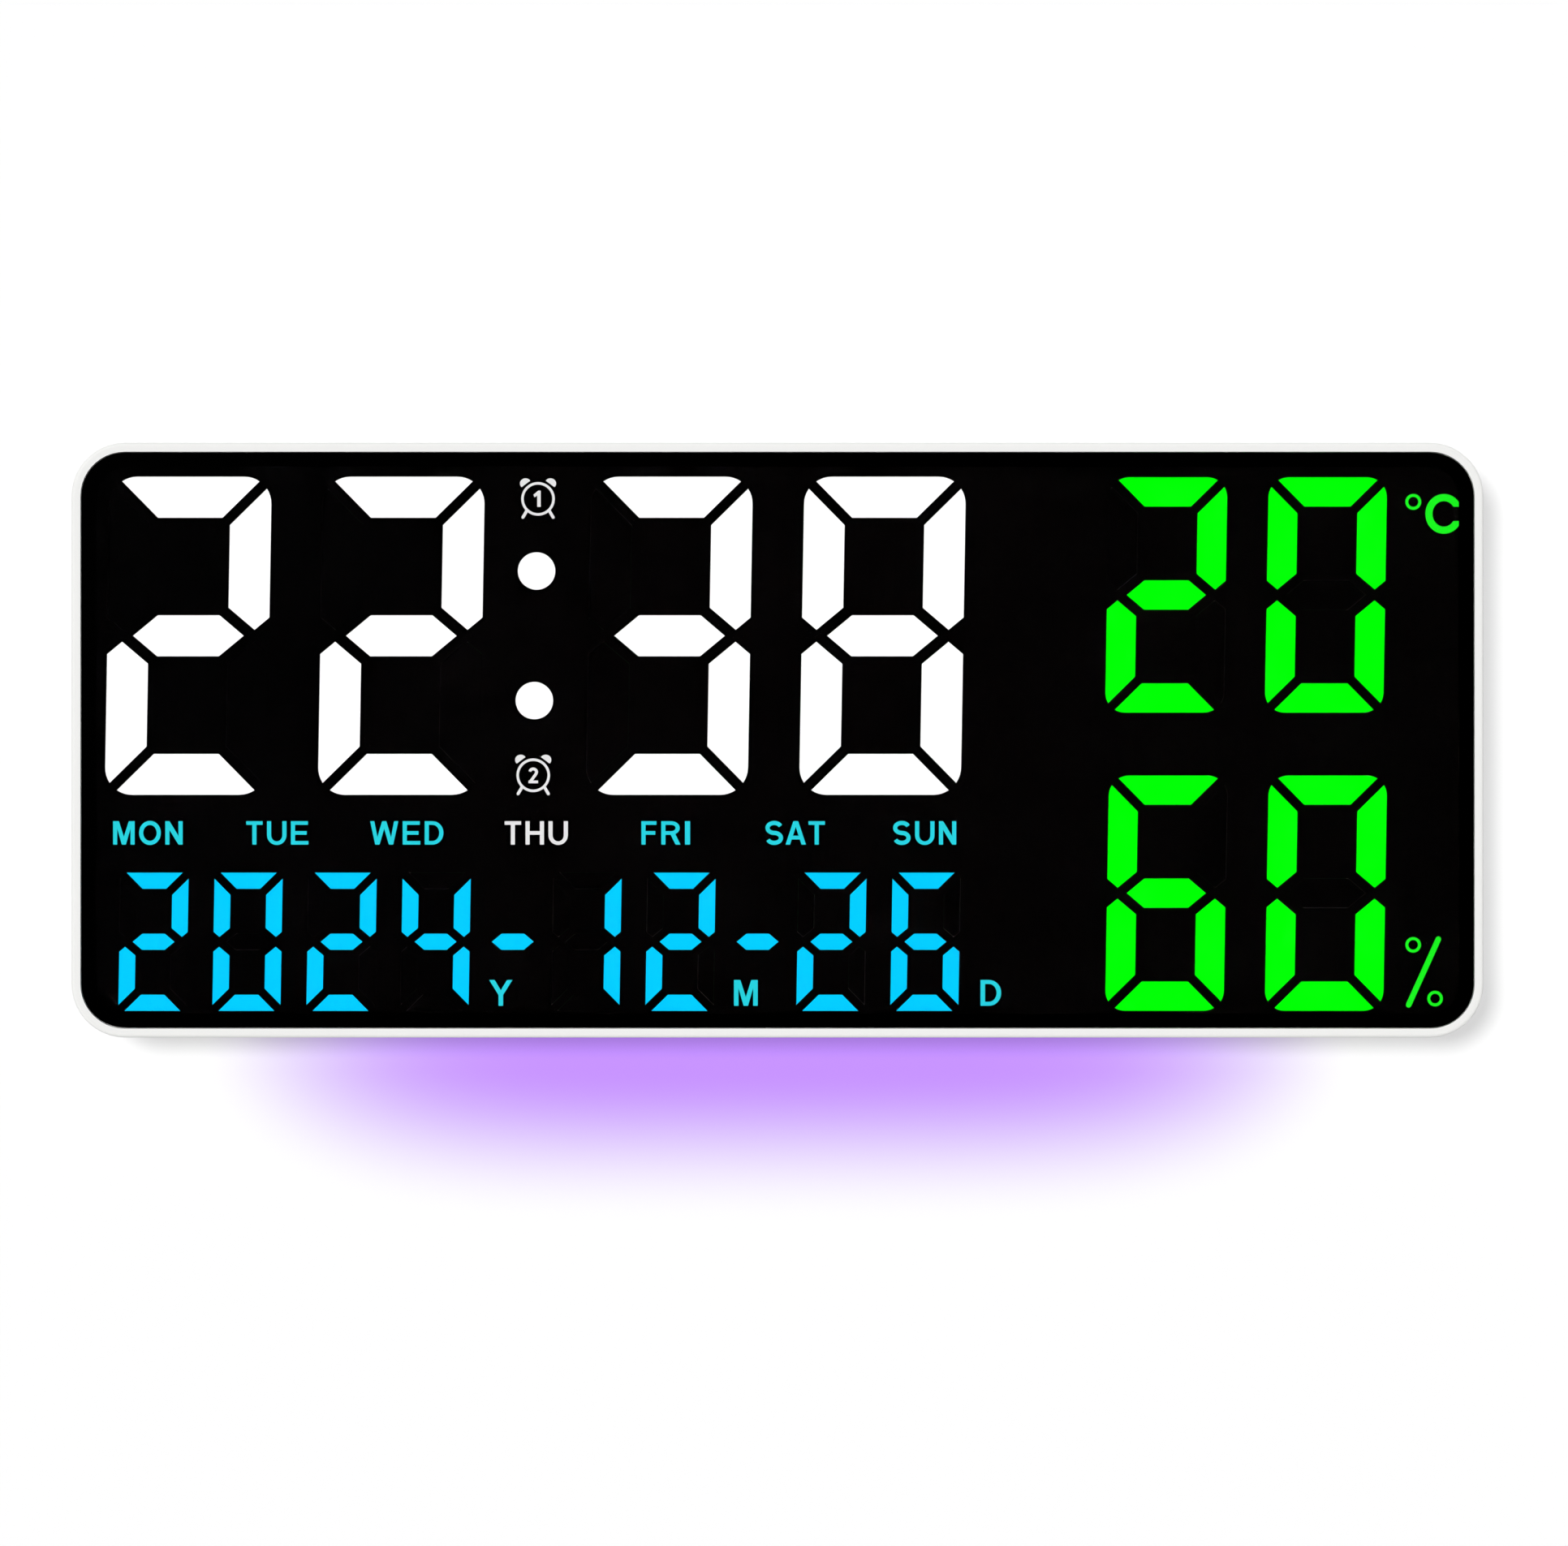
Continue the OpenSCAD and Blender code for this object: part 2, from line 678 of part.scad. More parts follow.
module capsule(l, w) {
    square([l - w, w], center = true);
    for (s = [-1, 1]) translate([s * (l - w) / 2, 0]) intersection() {
        circle(w / 2);
        translate([s * w / 4, 0]) square([w / 2, w], center = true);
    }
}

// Takes a section round a rounded rectangle: its X is 0 on the outline and negative inside, its Y is Z
module swept(w, h, r) for (q = [0 : 3]) rotate([0, 0, 90 * q]) {
    half = q % 2 == 0 ? [w / 2, h / 2] : [h / 2, w / 2];
    translate([half.x, half.y - r, 0]) rotate([90, 0, 0]) linear_extrude(2 * (half.y - r)) children();
    translate([half.x - r, half.y - r, 0]) rotate_extrude(angle = 90) translate([r, 0]) children();
}

function arc(x, y, r, from, to, n) = [for (i = [0 : n]) let (a = from + (to - from) * i / max(n, 1))
    [x + r * cos(a), y + r * sin(a)]];

// Strokes of a figure f (width, height, segment, corner, gap), drawn smaller by c on every side
function mitre(f, c) = (f[4] + 2 * c) / sqrt(2);
function turn_r(f, c) = max(f[3] - c, mitre(f, c));
function turn_from(f, c) = acos(-mitre(f, c) / (turn_r(f, c) * sqrt(2))) - 45;
function turn_steps(f, c) = turn_r(f, c) > mitre(f, c) ? arc_steps : 0;
function top_stroke(f, c) = let (w = f[0] / 2 - c, e = f[1] / 2 - c, t = f[2] - 2 * c, o = mitre(f, c),
    q = turn_r(f, c), a = turn_from(f, c), n = turn_steps(f, c))
    concat(arc(w - q, e - q, q, a, 90, n), arc(q - w, e - q, q, 90, 180 - a, n),
        [[t + o - w, e - t], [w - t - o, e - t]]);
function side_stroke(f, c) = let (w = f[0] / 2 - c, e = f[1] / 2 - c, t = f[2] - 2 * c, o = mitre(f, c),
    q = turn_r(f, c), a = turn_from(f, c), n = turn_steps(f, c),
    m = (fig_cross * f[4] / 2 + c) / cos(fig_joint), d = fig_node * f[2] - c, k = tan(fig_joint))
    concat([[w - t, e - t - o]], arc(w - q, e - q, q, 90 - a, 0, n),
        [[w, m + d * k], [w - d, m], [w - t, m + (t - d) * k]]);
function middle_stroke(f, c) = let (t = f[2] / 2 - c, k = tan(fig_joint),
    x = f[0] / 2 - (fig_node + fig_pull) * f[2] - (fig_cross * f[4] / 2 + c) / sin(fig_joint), s = x - t / k)
    [[x, 0], [s, t], [-s, t], [-x, 0], [-s, -t], [s, -t]];
function flipped(points, x, y) = [for (p = points) [x * p.x, y * p.y]];
function stroke(s, f, c) = s == "a" ? top_stroke(f, c) : s == "b" ? side_stroke(f, c)
    : s == "c" ? flipped(side_stroke(f, c), 1, -1) : s == "d" ? flipped(top_stroke(f, c), 1, -1)
    : s == "e" ? flipped(side_stroke(f, c), -1, -1) : s == "f" ? flipped(side_stroke(f, c), -1, 1)
    : middle_stroke(f, c);
function lit(value, s) = len(search(s, shapes[value])) > 0;

// Middle of a stroke
function stroke_at(s, f) = let (x = (f[0] - f[2]) / 2, y = (f[1] - f[2]) / 2, h = f[1] / 4)
    s == "a" ? [0, y] : s == "b" ? [x, h] : s == "c" ? [x, -h] : s == "d" ? [0, -y]
    : s == "e" ? [-x, -h] : s == "f" ? [-x, h] : [0, 0];

module one_stroke(s, f, c) polygon([for (p = stroke(s, f, c)) [p.x + fig_lean * p.y, p.y]]);

module figures(figs, on, off, c) for (f = figs) translate([f[1], f[2]])
    for (s = strokes) if (lit(f[0], s) ? on : off) one_stroke(s, f[3], c);

module dash_marks(c) for (d = dashes) translate(d) one_stroke("g", date_fig, c);

module dot_marks(c) for (d = colon_dots) translate(d) circle(art * colon_d / 2 - c);

module well_marks(c) for (w = wells) translate([w[0], w[1]])
    square([w[2] - 2 * c, w[3] - 2 * c], center = true);

module segment_windows() {
    figures(all_figs, true, true, 0);
    dash_marks(0);
    dot_marks(0);
}

module diffusers() hang() slab(film_back - diffuser_t, film_back) children();

module front_frame() color(white) hang() difference() {
    swept(case_w, case_h, corner_r) difference() {
        polygon([[0, frame_back], [0, case_depth], [-rim_w, case_depth], [-rim_w, seat_front],
            [-seat_in, seat_front], [-seat_in, seat_back], [-wall, seat_back], [-wall, frame_back]]);
        translate([-rim_edge_r, case_depth - rim_edge_r]) difference() {
            square(rim_edge_r + through);
            circle(rim_edge_r);
        }
    }
    upright(-case_h / 2 - through, -case_h / 2 + wall + through) translate([usb_x, board_back - usb_h / 2])
        rounded(usb_w + 2 * usb_fit, usb_h + 2 * usb_fit, usb_h / 2);
}

module front_panel() color(smoke) hang() slab(panel_back, panel_front) case_outline(rim_w + panel_fit);

module panel_tape() color(black) hang() slab(seat_front, panel_back) difference() {
    case_outline(rim_w + panel_fit);
    case_outline(face_in + tape_over);
}

module mask_film() color(black) hang() slab(film_back, film_front) difference() {
    case_outline(face_in);
    segment_windows();
}

module reflector() color(milk) hang() difference() {
    union() {
        slab(reflector_back, seat_back) case_outline(flange_in);
        slab(seat_back, film_back) case_outline(face_in);
    }
    slab(reflector_back - through, film_back + through) {
        segment_windows();
        well_marks(0);
    }
    for (p = case_screws_at) translate([p.x, p.y, reflector_back - through])
        cylinder(r = screw_r + screw_fit, h = screw_l - screw_floor - board_t + 2 * through);
    for (p = board_screws_at) translate([p.x, p.y, reflector_back - through])
        cylinder(r = tiny_r + screw_fit, h = tiny_l - board_t + 2 * through);
}

module time_segments() color(milk) diffusers() figures(clock_figs, true, false, diffuser_fit);

module colon_dots_lit() color(milk) diffusers() dot_marks(diffuser_fit);

module date_segments() color(cyan) diffusers() {
    figures(date_figs, true, false, diffuser_fit);
    dash_marks(diffuser_fit);
}

module temperature_segments() color(green) diffusers() figures(temperature_figs, true, false, diffuser_fit);

module humidity_segments() color(green) diffusers() figures(humidity_figs, true, false, diffuser_fit);

module unlit_segments() color(grey) diffusers() figures(all_figs, false, true, diffuser_fit);

module legend_diffusers() color(milk) diffusers() well_marks(diffuser_fit);

module display_leds() color(amber) hang() slab(reflector_back, reflector_back + led_t) {
    for (f = all_figs, s = strokes) let (p = stroke_at(s, f[3]))
        translate([f[1] + p.x + fig_lean * p.y, f[2] + p.y])
            square(len(search(s, flat_strokes)) > 0 ? [led_l, led_w] : [led_w, led_l], center = true);
    for (d = concat(dashes, colon_dots)) translate(d) square([led_l, led_w], center = true);
    for (w = wells) translate([w[0], w[1]]) square([led_l, led_w], center = true);
}

module main_board() color(board_green) hang() slab(board_back, reflector_back) difference() {
    case_outline(board_in);
    for (p = case_screws_at) translate(p) circle(screw_r + head_fit);
    for (p = board_screws_at) translate(p) circle(tiny_r + screw_fit);
}

// A pan-head screw that points along +Z from the seat of its head
module screw(r, l, head_r, head_h) rotate_extrude() difference() {
    polygon([[0, -head_h], [head_r, -head_h], [head_r, 0], [r, 0], [r, l - r], [0, l]]);
    translate([head_r - pan_round, pan_round - head_h]) difference() {
        translate([0, -pan_round - through]) square(pan_round + through);
        circle(pan_round);
    }
}

module slotted(r, l, head_r, head_h) difference() {
    screw(r, l, head_r, head_h);
    for (a = [0, 90]) rotate([0, 0, a]) translate([0, 0, -head_h])
        cube([1.2 * head_r, head_r / 4, head_h], center = true);
}

module board_screws() color(steel) hang() for (p = board_screws_at) translate([p.x, p.y, board_back])
    slotted(tiny_r, tiny_l, tiny_head_r, tiny_head_h);

module case_screws() color(steel) hang() for (p = case_screws_at) translate([p.x, p.y, head_seat])
    slotted(screw_r, screw_l, screw_head_r, screw_head_h);

// A packaged chip lying on the back of the main board
module chip(l, w, legs, leg_pitch) {
    slab(board_back - chip_t, board_back - chip_t / 8) square([l, w], center = true);
    slab(board_back - chip_t / 3, board_back)
        for (i = [0 : legs - 1]) translate([(i - (legs - 1) / 2) * leg_pitch, 0])
            square([leg_pitch / 2, w + chip_t], center = true);
}

module controller_chip() color(grey) hang() translate([controller_x, controller_y, 0])
    chip(chip_w, chip_w, chip_legs, chip_pitch);

module driver_chips() color(grey) hang()
    for (p = [[driver_1_x, driver_1_y], [driver_2_x, driver_2_y]]) translate(p)
        chip(driver_l, driver_w, driver_legs, driver_pitch);

module crystal() color(steel) hang() translate([crystal_x, crystal_y, 0])
    slab(board_back - crystal_t, board_back) capsule(crystal_l, crystal_w);

module capacitors() color(grey) hang() for (i = [0, 1])
    translate([cap_x + i * cap_step, cap_y, board_back - cap_h]) cylinder(d = cap_d, h = cap_h);

module buzzer() color(black) hang() translate([buzzer_x, buzzer_y, board_back - buzzer_h]) difference() {
    cylinder(r = buzzer_r, h = buzzer_h);
    translate([0, 0, -through]) cylinder(r = buzzer_r / 5, h = buzzer_h / 3 + through);
}

module climate_sensor() color(blue) hang() translate([sensor_x, sensor_y, 0]) difference() {
    slab(board_back - sensor_t, board_back) square([sensor_w, sensor_l], center = true);
    slab(board_back - sensor_t - through, board_back - sensor_t + sensor_t / 4)
        for (x = [-1, 0, 1], y = [-1, 0, 1]) translate([x * sensor_w / 4, y * sensor_l / 4])
            square([sensor_w / 6, sensor_l / 6], center = true);
}

module usb_shell() color(steel) hang() translate([usb_x, 0, board_back - usb_h / 2]) difference() {
    mouth = usb_sink - case_h / 2;
    upright(mouth, mouth + usb_l) capsule(usb_w, usb_h);
    upright(mouth - through, mouth + usb_l - usb_sheet)
        capsule(usb_w - 2 * usb_sheet, usb_h - 2 * usb_sheet);
}

module usb_tongue() color(black) hang() translate([usb_x, 0, board_back - usb_h / 2]) {
    back = usb_sink - case_h / 2 + usb_l - usb_sheet;
    upright(back - usb_l * 0.75, back) square([usb_tongue_w, usb_tongue_t], center = true);
}

// Rear cover: shell, what stands inside it and what is cut out of it
module cover_shell() {
    swept(cover_w, cover_h, cover_r) difference() {
        polygon([[0, 0], [0, frame_back], [-lap_in, frame_back], [-lap_in, frame_back + lap_h],
            [-wall, frame_back + lap_h], [-wall, wall], [-fold, wall], [-fold, 0]]);
        translate([-cover_edge_r, cover_edge_r]) difference() {
            translate([0, -cover_edge_r - through]) square(cover_edge_r + through);
            circle(cover_edge_r);
        }
    }
    slab(0, wall) rounded(cover_w - 2 * fold, cover_h - 2 * fold, cover_r - fold);
}

module on_both_sides() {
    children();
    mirror([1, 0, 0]) children();
}

module foot_housing() {
    upright(through - cover_top, recess_top + recess_wall) translate([recess_tip - recess_wall, through])
        square([recess_end - recess_tip + 2 * recess_wall, recess_depth + recess_wall - through]);
    upright(recess_top, recess_top + pin_hold + recess_wall)
        translate([foot_x - knuckle_r - foot_fit, through])
        square([2 * (knuckle_r + foot_fit), recess_depth + recess_wall - through]);
}

module foot_recess() {
    difference() {
        upright(-cover_top - through, recess_top) translate([recess_tip, -through])
            square([recess_end - recess_tip, recess_depth + through]);
        upright(-cover_top, lug_t - cover_top) {
            translate([foot_x, foot_z]) circle(knuckle_r);
            translate([foot_x, foot_z - knuckle_r]) square([recess_end - foot_x, recess_depth]);
            translate([foot_x - knuckle_r, foot_z]) square([2 * knuckle_r, recess_depth]);
        }
    }
    upright(pad_t - cover_top, recess_top + pin_hold) translate([foot_x, foot_z]) circle(pin_r + pin_fit);
}

// The bay's box, and the collar that joins it to the back round the door
module cell_bay() translate([bay_x, bay_y]) {
    slab(through, bay_floor + bay_wall) square([bay_l + 2 * bay_wall, bay_h + 2 * bay_wall], center = true);
    slab(through, wall + tab_t + bay_wall) square([door_l + 2 * collar, door_h + 2 * collar], center = true);
}

module cell_bay_room() {
    slab(-through, bay_floor) translate([bay_x, bay_y]) square([bay_l, bay_h], center = true);
    slab(-through, wall) translate([bay_x, bay_y]) {
        rounded(door_l + 2 * door_fit, door_h + 2 * door_fit, door_r);
        translate([door_l / 2, 0]) square([2 * (latch_l + door_fit), latch_w + 2 * door_fit], center = true);
    }
    slab(door_t - tab_t - door_fit / 2, wall + tab_t)
        for (s = [-1, 1]) translate([door_left, bay_y + s * tab_step / 2])
            square([2 * (tab_l + door_fit), tab_w + 2 * door_fit], center = true);
    slab(bay_floor - through, bay_floor + bay_wall + through) for (s = [-1, 1])
        for (x = [bay_left + leaf_t / 2, bay_right - leaf_t / 2]) translate([x, bay_y + s * cell_y])
            square([leaf_t + 2 * tail_slot, tail_w + 2 * tail_slot], center = true);
}

module rear_cover() color(white) hang() difference() {
    union() {
        cover_shell();
        for (p = case_screws_at) translate([p.x, p.y, through])
            cylinder(r = tube_r, h = board_back - through);
        cell_bay();
        on_both_sides() {
            foot_housing();
            upright(key_board_top - board_t - block_h, key_board_top - board_t)
                translate([block_x - block_w / 2, through])
                square([block_w, key_z + key_board_w / 2 - through]);
        }
        upright(strip_top, strip_top + shelf_t) translate([-shelf_l / 2, through])
            square([shelf_l, bar_z + strip_w / 2 - through]);
    }
    for (p = case_screws_at) translate([p.x, p.y, -through]) {
        cylinder(r = screw_head_r + head_fit, h = head_seat + through);
        cylinder(r = screw_r + head_fit, h = case_depth);
    }
    cell_bay_room();
    on_both_sides() {
        foot_recess();
        slab(-through, wall + through) {
            translate([keyhole_x, keyhole_y]) circle(keyhole_r);
            translate([keyhole_x, keyhole_y + keyhole_rise]) circle(keyhole_slot_r);
            translate([keyhole_x, keyhole_y + keyhole_rise / 2])
                square([2 * keyhole_slot_r, keyhole_rise], center = true);
        }
        upright(key_board_top - board_t - block_h, key_board_top - board_t + through)
            translate([block_x, key_z]) circle(tiny_r + screw_fit);
    }
    for (i = [0 : key_n - 1]) upright(key_wall_in - through, cover_top + through)
        translate([key_x(i), key_z]) capsule(key_l + 2 * key_fit, key_w + 2 * key_fit);
    upright(-cover_top - through, bar_wall_in + through) translate([0, bar_z])
        rounded(bar_l + 2 * bar_fit, bar_w + 2 * bar_fit, bar_w / 2);
    slab(-through, wall + through) {
        for (i = [0 : vent_n - 1])
            translate([sensor_x - vent_w, sensor_y + (i - (vent_n - 1) / 2) * vent_pitch])
            capsule(vent_l, vent_w);
        translate([buzzer_x, buzzer_y]) {
            circle(sound_r);
            for (a = [0 : 60 : 300]) rotate(a) translate([sound_step, 0]) circle(sound_r);
        }
    }
    upright(-cover_top - through, bar_wall_in + through) translate([usb_x - usb_w / 2 - wall, frame_back])
        square([usb_w + 2 * wall, lap_h + through]);
}

// Buttons, left to right
function key_x(i) = (i - (key_n - 1) / 2) * key_pitch;

module key_button(i) color(white) hang() translate([key_x(i), 0, 0]) {
    upright(flange_low, cover_top + key_proud) translate([0, key_z]) capsule(key_l, key_w);
    upright(flange_low, flange_top) translate([0, key_z]) capsule(key_l + 2 * key_lip, key_w + 2 * key_lip);
    upright(plunger_top, flange_low) translate([0, key_z]) circle(pusher_r);
}

module key_plunger(i) color(black) hang() upright(plunger_top - plunger_proud - plunger_root, plunger_top)
    translate([key_x(i), key_z]) circle(plunger_r);

module button_1() key_button(0);
module button_2() key_button(1);
module button_3() key_button(2);
module button_4() key_button(3);
module button_5() key_button(4);
module plunger_1() key_plunger(0);
module plunger_2() key_plunger(1);
module plunger_3() key_plunger(2);
module plunger_4() key_plunger(3);
module plunger_5() key_plunger(4);

module switch_bodies() color(steel) hang() for (i = [0 : key_n - 1]) difference() {
    upright(key_board_top, key_board_top + switch_h) translate([key_x(i), key_z])
        square(switch_w, center = true);
    upright(key_board_top + switch_h - plunger_root - key_travel - plunger_fit,
        key_board_top + switch_h + through) translate([key_x(i), key_z]) circle(plunger_r + plunger_fit);
}

module switch_board() color(board_green) hang() upright(key_board_top - board_t, key_board_top)
    difference() {
        translate([0, key_z]) square([key_board_l, key_board_w], center = true);
        for (s = [-1, 1]) translate([s * block_x, key_z]) circle(tiny_r + screw_fit);
    }

module switch_board_screws() color(steel) hang() for (s = [-1, 1])
    translate([s * block_x, key_board_top, key_z]) rotate([90, 0, 0])
        slotted(tiny_r, tiny_l, tiny_head_r, tiny_head_h);

// Pins from the main board that lie on a small board at the height y and reach down to the level z
module pin_header(n, y, z) {
    slab(board_back - header_block, board_back) translate([0, y])
        square([n * header_pitch, header_block], center = true);
    slab(z, board_back) for (i = [0 : n - 1]) translate([(i - (n - 1) / 2) * header_pitch, y])
        square(header_pin, center = true);
}

module switch_header() color(black) hang()
    pin_header(key_header_n, key_board_top - board_t - header_pin / 2,
        key_z + key_board_w / 2 - header_reach);

module strip_header() color(black) hang() translate([bar_header_x, 0, 0])
    pin_header(bar_header_n, strip_top + header_pin / 2, bar_z + strip_w / 2 - header_reach);

module light_bar() color(violet) hang() {
    upright(-cover_top, bar_wall_in + bar_flange_t) translate([0, bar_z]) capsule(bar_l, bar_w);
    upright(bar_wall_in, bar_wall_in + bar_flange_t) translate([0, bar_z])
        capsule(bar_l + 2 * bar_lip, bar_w + 2 * bar_lip);
}

module led_strip() color(milk) hang() upright(strip_low, strip_top) translate([0, bar_z])
    square([strip_l, strip_w], center = true);

module colour_leds() color(amber) hang() upright(strip_low - glow_t, strip_low)
    for (i = [0 : glow_n - 1]) translate([(i - (glow_n - 1) / 2) * glow_pitch, bar_z])
        square(glow_w, center = true);

// Contacts at one end of the bay: an upright strip with its tail, a bowed spring or a dimple
module contact_strip() {
    upright(-leaf_w / 2, leaf_w / 2) translate([0, wall + door_fit])
        square([leaf_t, bay_floor - wall - door_fit]);
    upright(-tail_w / 2, tail_w / 2) translate([0, bay_floor / 2])
        square([leaf_t, board_back - bay_floor / 2]);
}

module spring_contact() {
    contact_strip();
    upright(-leaf_w / 2, leaf_w / 2) intersection() {
        translate([leaf_t + leaf_reach - bow_r, cell_z]) difference() {
            circle(bow_r);
            circle(bow_r - leaf_t);
        }
        translate([leaf_t / 2, 0]) square([2 * bow_r, bay_floor]);
    }
}

module dimple_contact() {
    contact_strip();
    translate([leaf_t, 0, cell_z]) rotate([0, 90, 0]) cylinder(r = dimple_r, h = dimple_h);
}

module cell_contacts() color(steel) hang() translate([0, bay_y, 0]) {
    translate([bay_left, cell_y, 0]) spring_contact();
    translate([bay_left, -cell_y, 0]) dimple_contact();
    translate([bay_right, cell_y, 0]) mirror([1, 0, 0]) dimple_contact();
    translate([bay_right, -cell_y, 0]) mirror([1, 0, 0]) spring_contact();
    translate([bay_right - leaf_t, -cell_y, bay_floor / 2]) cube([leaf_t, 2 * cell_y, leaf_w / 2]);
}

module cell() rotate([0, 90, 0]) {
    cylinder(r = cell_r, h = cell_l - nub_l);
    cylinder(r = nub_r, h = cell_l);
}

module backup_cells() color(grey) hang() translate([0, bay_y, cell_z]) {
    translate([bay_left + leaf_t + leaf_reach + touch_gap, cell_y, 0]) cell();
    translate([bay_right - leaf_t - leaf_reach - touch_gap, -cell_y, 0]) mirror([1, 0, 0]) cell();
}

module battery_door() color(white) hang() translate([bay_x, bay_y, 0]) difference() {
    union() {
        slab(0, door_t) {
            rounded(door_l, door_h, door_r);
            translate([door_l / 2, 0]) square([2 * latch_l, latch_w], center = true);
        }
        slab(door_t - tab_t, door_t) for (s = [-1, 1]) translate([-door_l / 2, s * tab_step / 2])
            square([2 * tab_l, tab_w], center = true);
    }
    slab(-through, grip_depth) translate([door_l / 2 - latch_w, 0]) difference() {
        square([latch_w, 1.2 * latch_w], center = true);
        for (x = [-1, 0, 1]) translate([x * latch_w / 4, 0]) square([grip_depth, latch_w], center = true);
    }
}

module foot() hang() difference() {
    union() {
        upright(knuckle_low, knuckle_top) {
            translate([foot_x, foot_z]) circle(knuckle_r);
            translate([foot_x - foot_l, foot_z - foot_t / 2]) square([foot_l, foot_t]);
        }
        upright(foot_low, knuckle_low) translate([foot_x - foot_l, foot_z - foot_t / 2])
            square([foot_l - knuckle_r - foot_fit, foot_t]);
    }
    upright(knuckle_low - through, knuckle_top + through) translate([foot_x, foot_z])
        circle(pin_r + pin_fit);
    foot_pad_shape();
}

module foot_pad_shape() upright(-case_h / 2, pad_t - case_h / 2)
    translate([foot_x - foot_l + pad_l / 2 + pad_t, foot_z]) square([pad_l, pad_w], center = true);

module foot_right() color(white) foot();
module foot_left() color(white) mirror([1, 0, 0]) foot();
module foot_pad_right() color(black) hang() foot_pad_shape();
module foot_pad_left() color(black) mirror([1, 0, 0]) hang() foot_pad_shape();

module foot_pins() color(steel) hang() on_both_sides()
    upright(pad_t - cover_top, recess_top + pin_hold) translate([foot_x, foot_z]) circle(pin_r);

front_frame();
front_panel();
panel_tape();
mask_film();
reflector();
time_segments();
colon_dots_lit();
date_segments();
temperature_segments();
humidity_segments();
unlit_segments();
legend_diffusers();
display_leds();
main_board();
board_screws();
controller_chip();
driver_chips();
crystal();
capacitors();
buzzer();
climate_sensor();
usb_shell();
usb_tongue();
rear_cover();
case_screws();
switch_board();
switch_board_screws();
switch_header();
switch_bodies();
plunger_1();
plunger_2();
plunger_3();
plunger_4();
plunger_5();
button_1();
button_2();
button_3();
button_4();
button_5();
light_bar();
led_strip();
colour_leds();
strip_header();
cell_contacts();
backup_cells();
battery_door();
foot_pins();
foot_left();
foot_right();
foot_pad_left();
foot_pad_right();
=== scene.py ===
import json
import math
import bmesh
import bpy
from mathutils import Matrix, Vector

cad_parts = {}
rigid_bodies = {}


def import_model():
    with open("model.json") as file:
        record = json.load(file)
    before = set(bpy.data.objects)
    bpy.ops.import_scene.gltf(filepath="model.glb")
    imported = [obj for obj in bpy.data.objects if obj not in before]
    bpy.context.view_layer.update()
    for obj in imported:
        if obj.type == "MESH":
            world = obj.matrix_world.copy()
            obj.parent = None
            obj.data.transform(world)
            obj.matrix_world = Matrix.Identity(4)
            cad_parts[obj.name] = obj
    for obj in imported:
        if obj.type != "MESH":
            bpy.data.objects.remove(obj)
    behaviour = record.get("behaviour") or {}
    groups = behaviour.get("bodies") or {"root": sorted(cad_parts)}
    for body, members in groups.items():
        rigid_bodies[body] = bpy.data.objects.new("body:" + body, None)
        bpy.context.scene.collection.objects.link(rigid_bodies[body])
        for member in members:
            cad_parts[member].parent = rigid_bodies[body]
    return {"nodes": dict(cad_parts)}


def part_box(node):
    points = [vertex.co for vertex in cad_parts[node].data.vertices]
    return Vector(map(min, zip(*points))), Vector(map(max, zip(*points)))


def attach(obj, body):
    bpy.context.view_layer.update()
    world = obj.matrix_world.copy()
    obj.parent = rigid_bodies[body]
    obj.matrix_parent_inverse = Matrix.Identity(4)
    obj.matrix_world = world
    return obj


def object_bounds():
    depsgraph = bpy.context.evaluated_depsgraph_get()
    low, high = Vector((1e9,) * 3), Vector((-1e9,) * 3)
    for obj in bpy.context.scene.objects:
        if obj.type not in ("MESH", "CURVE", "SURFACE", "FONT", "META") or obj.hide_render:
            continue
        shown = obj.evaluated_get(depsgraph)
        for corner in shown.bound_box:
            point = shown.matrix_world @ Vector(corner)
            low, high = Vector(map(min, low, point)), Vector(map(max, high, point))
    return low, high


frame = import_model()
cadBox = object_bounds()
scene = bpy.context.scene
scene.view_settings.view_transform = "Standard"
mm = 0.001
print("stage: frame loaded,", len(frame["nodes"]), "nodes")


def linear(hexText, share=1.0):  # sRGB hex to the linear colour that shaders take, or a share of it
    values = [int(hexText[i:i + 2], 16) / 255 for i in (1, 3, 5)]
    return [share * (v / 12.92 if v <= 0.04045 else ((v + 0.055) / 1.055) ** 2.4) for v in values] + [1.0]


def addNode(tree, kind, inputs=None, **settings):  # one node, its settings, then values or links by socket
    node = tree.nodes.new(kind)
    for key, value in settings.items():
        setattr(node, key, value)
    for key, value in (inputs or {}).items():
        if isinstance(value, bpy.types.NodeSocket):
            tree.links.new(value, node.inputs[key])
        else:
            node.inputs[key].default_value = value
    return node


# Sockets that share a name go by number: those of a colour Mix, and of a Compare of whole numbers
mixShare, mixFrom, mixTo, mixResult = 0, 6, 7, 2
compareThis, compareThat = 2, 3


def newMaterial(name):
    material = bpy.data.materials.new(name)
    material.use_nodes = True
    tree = material.node_tree
    return material, tree, tree.nodes["Principled BSDF"]


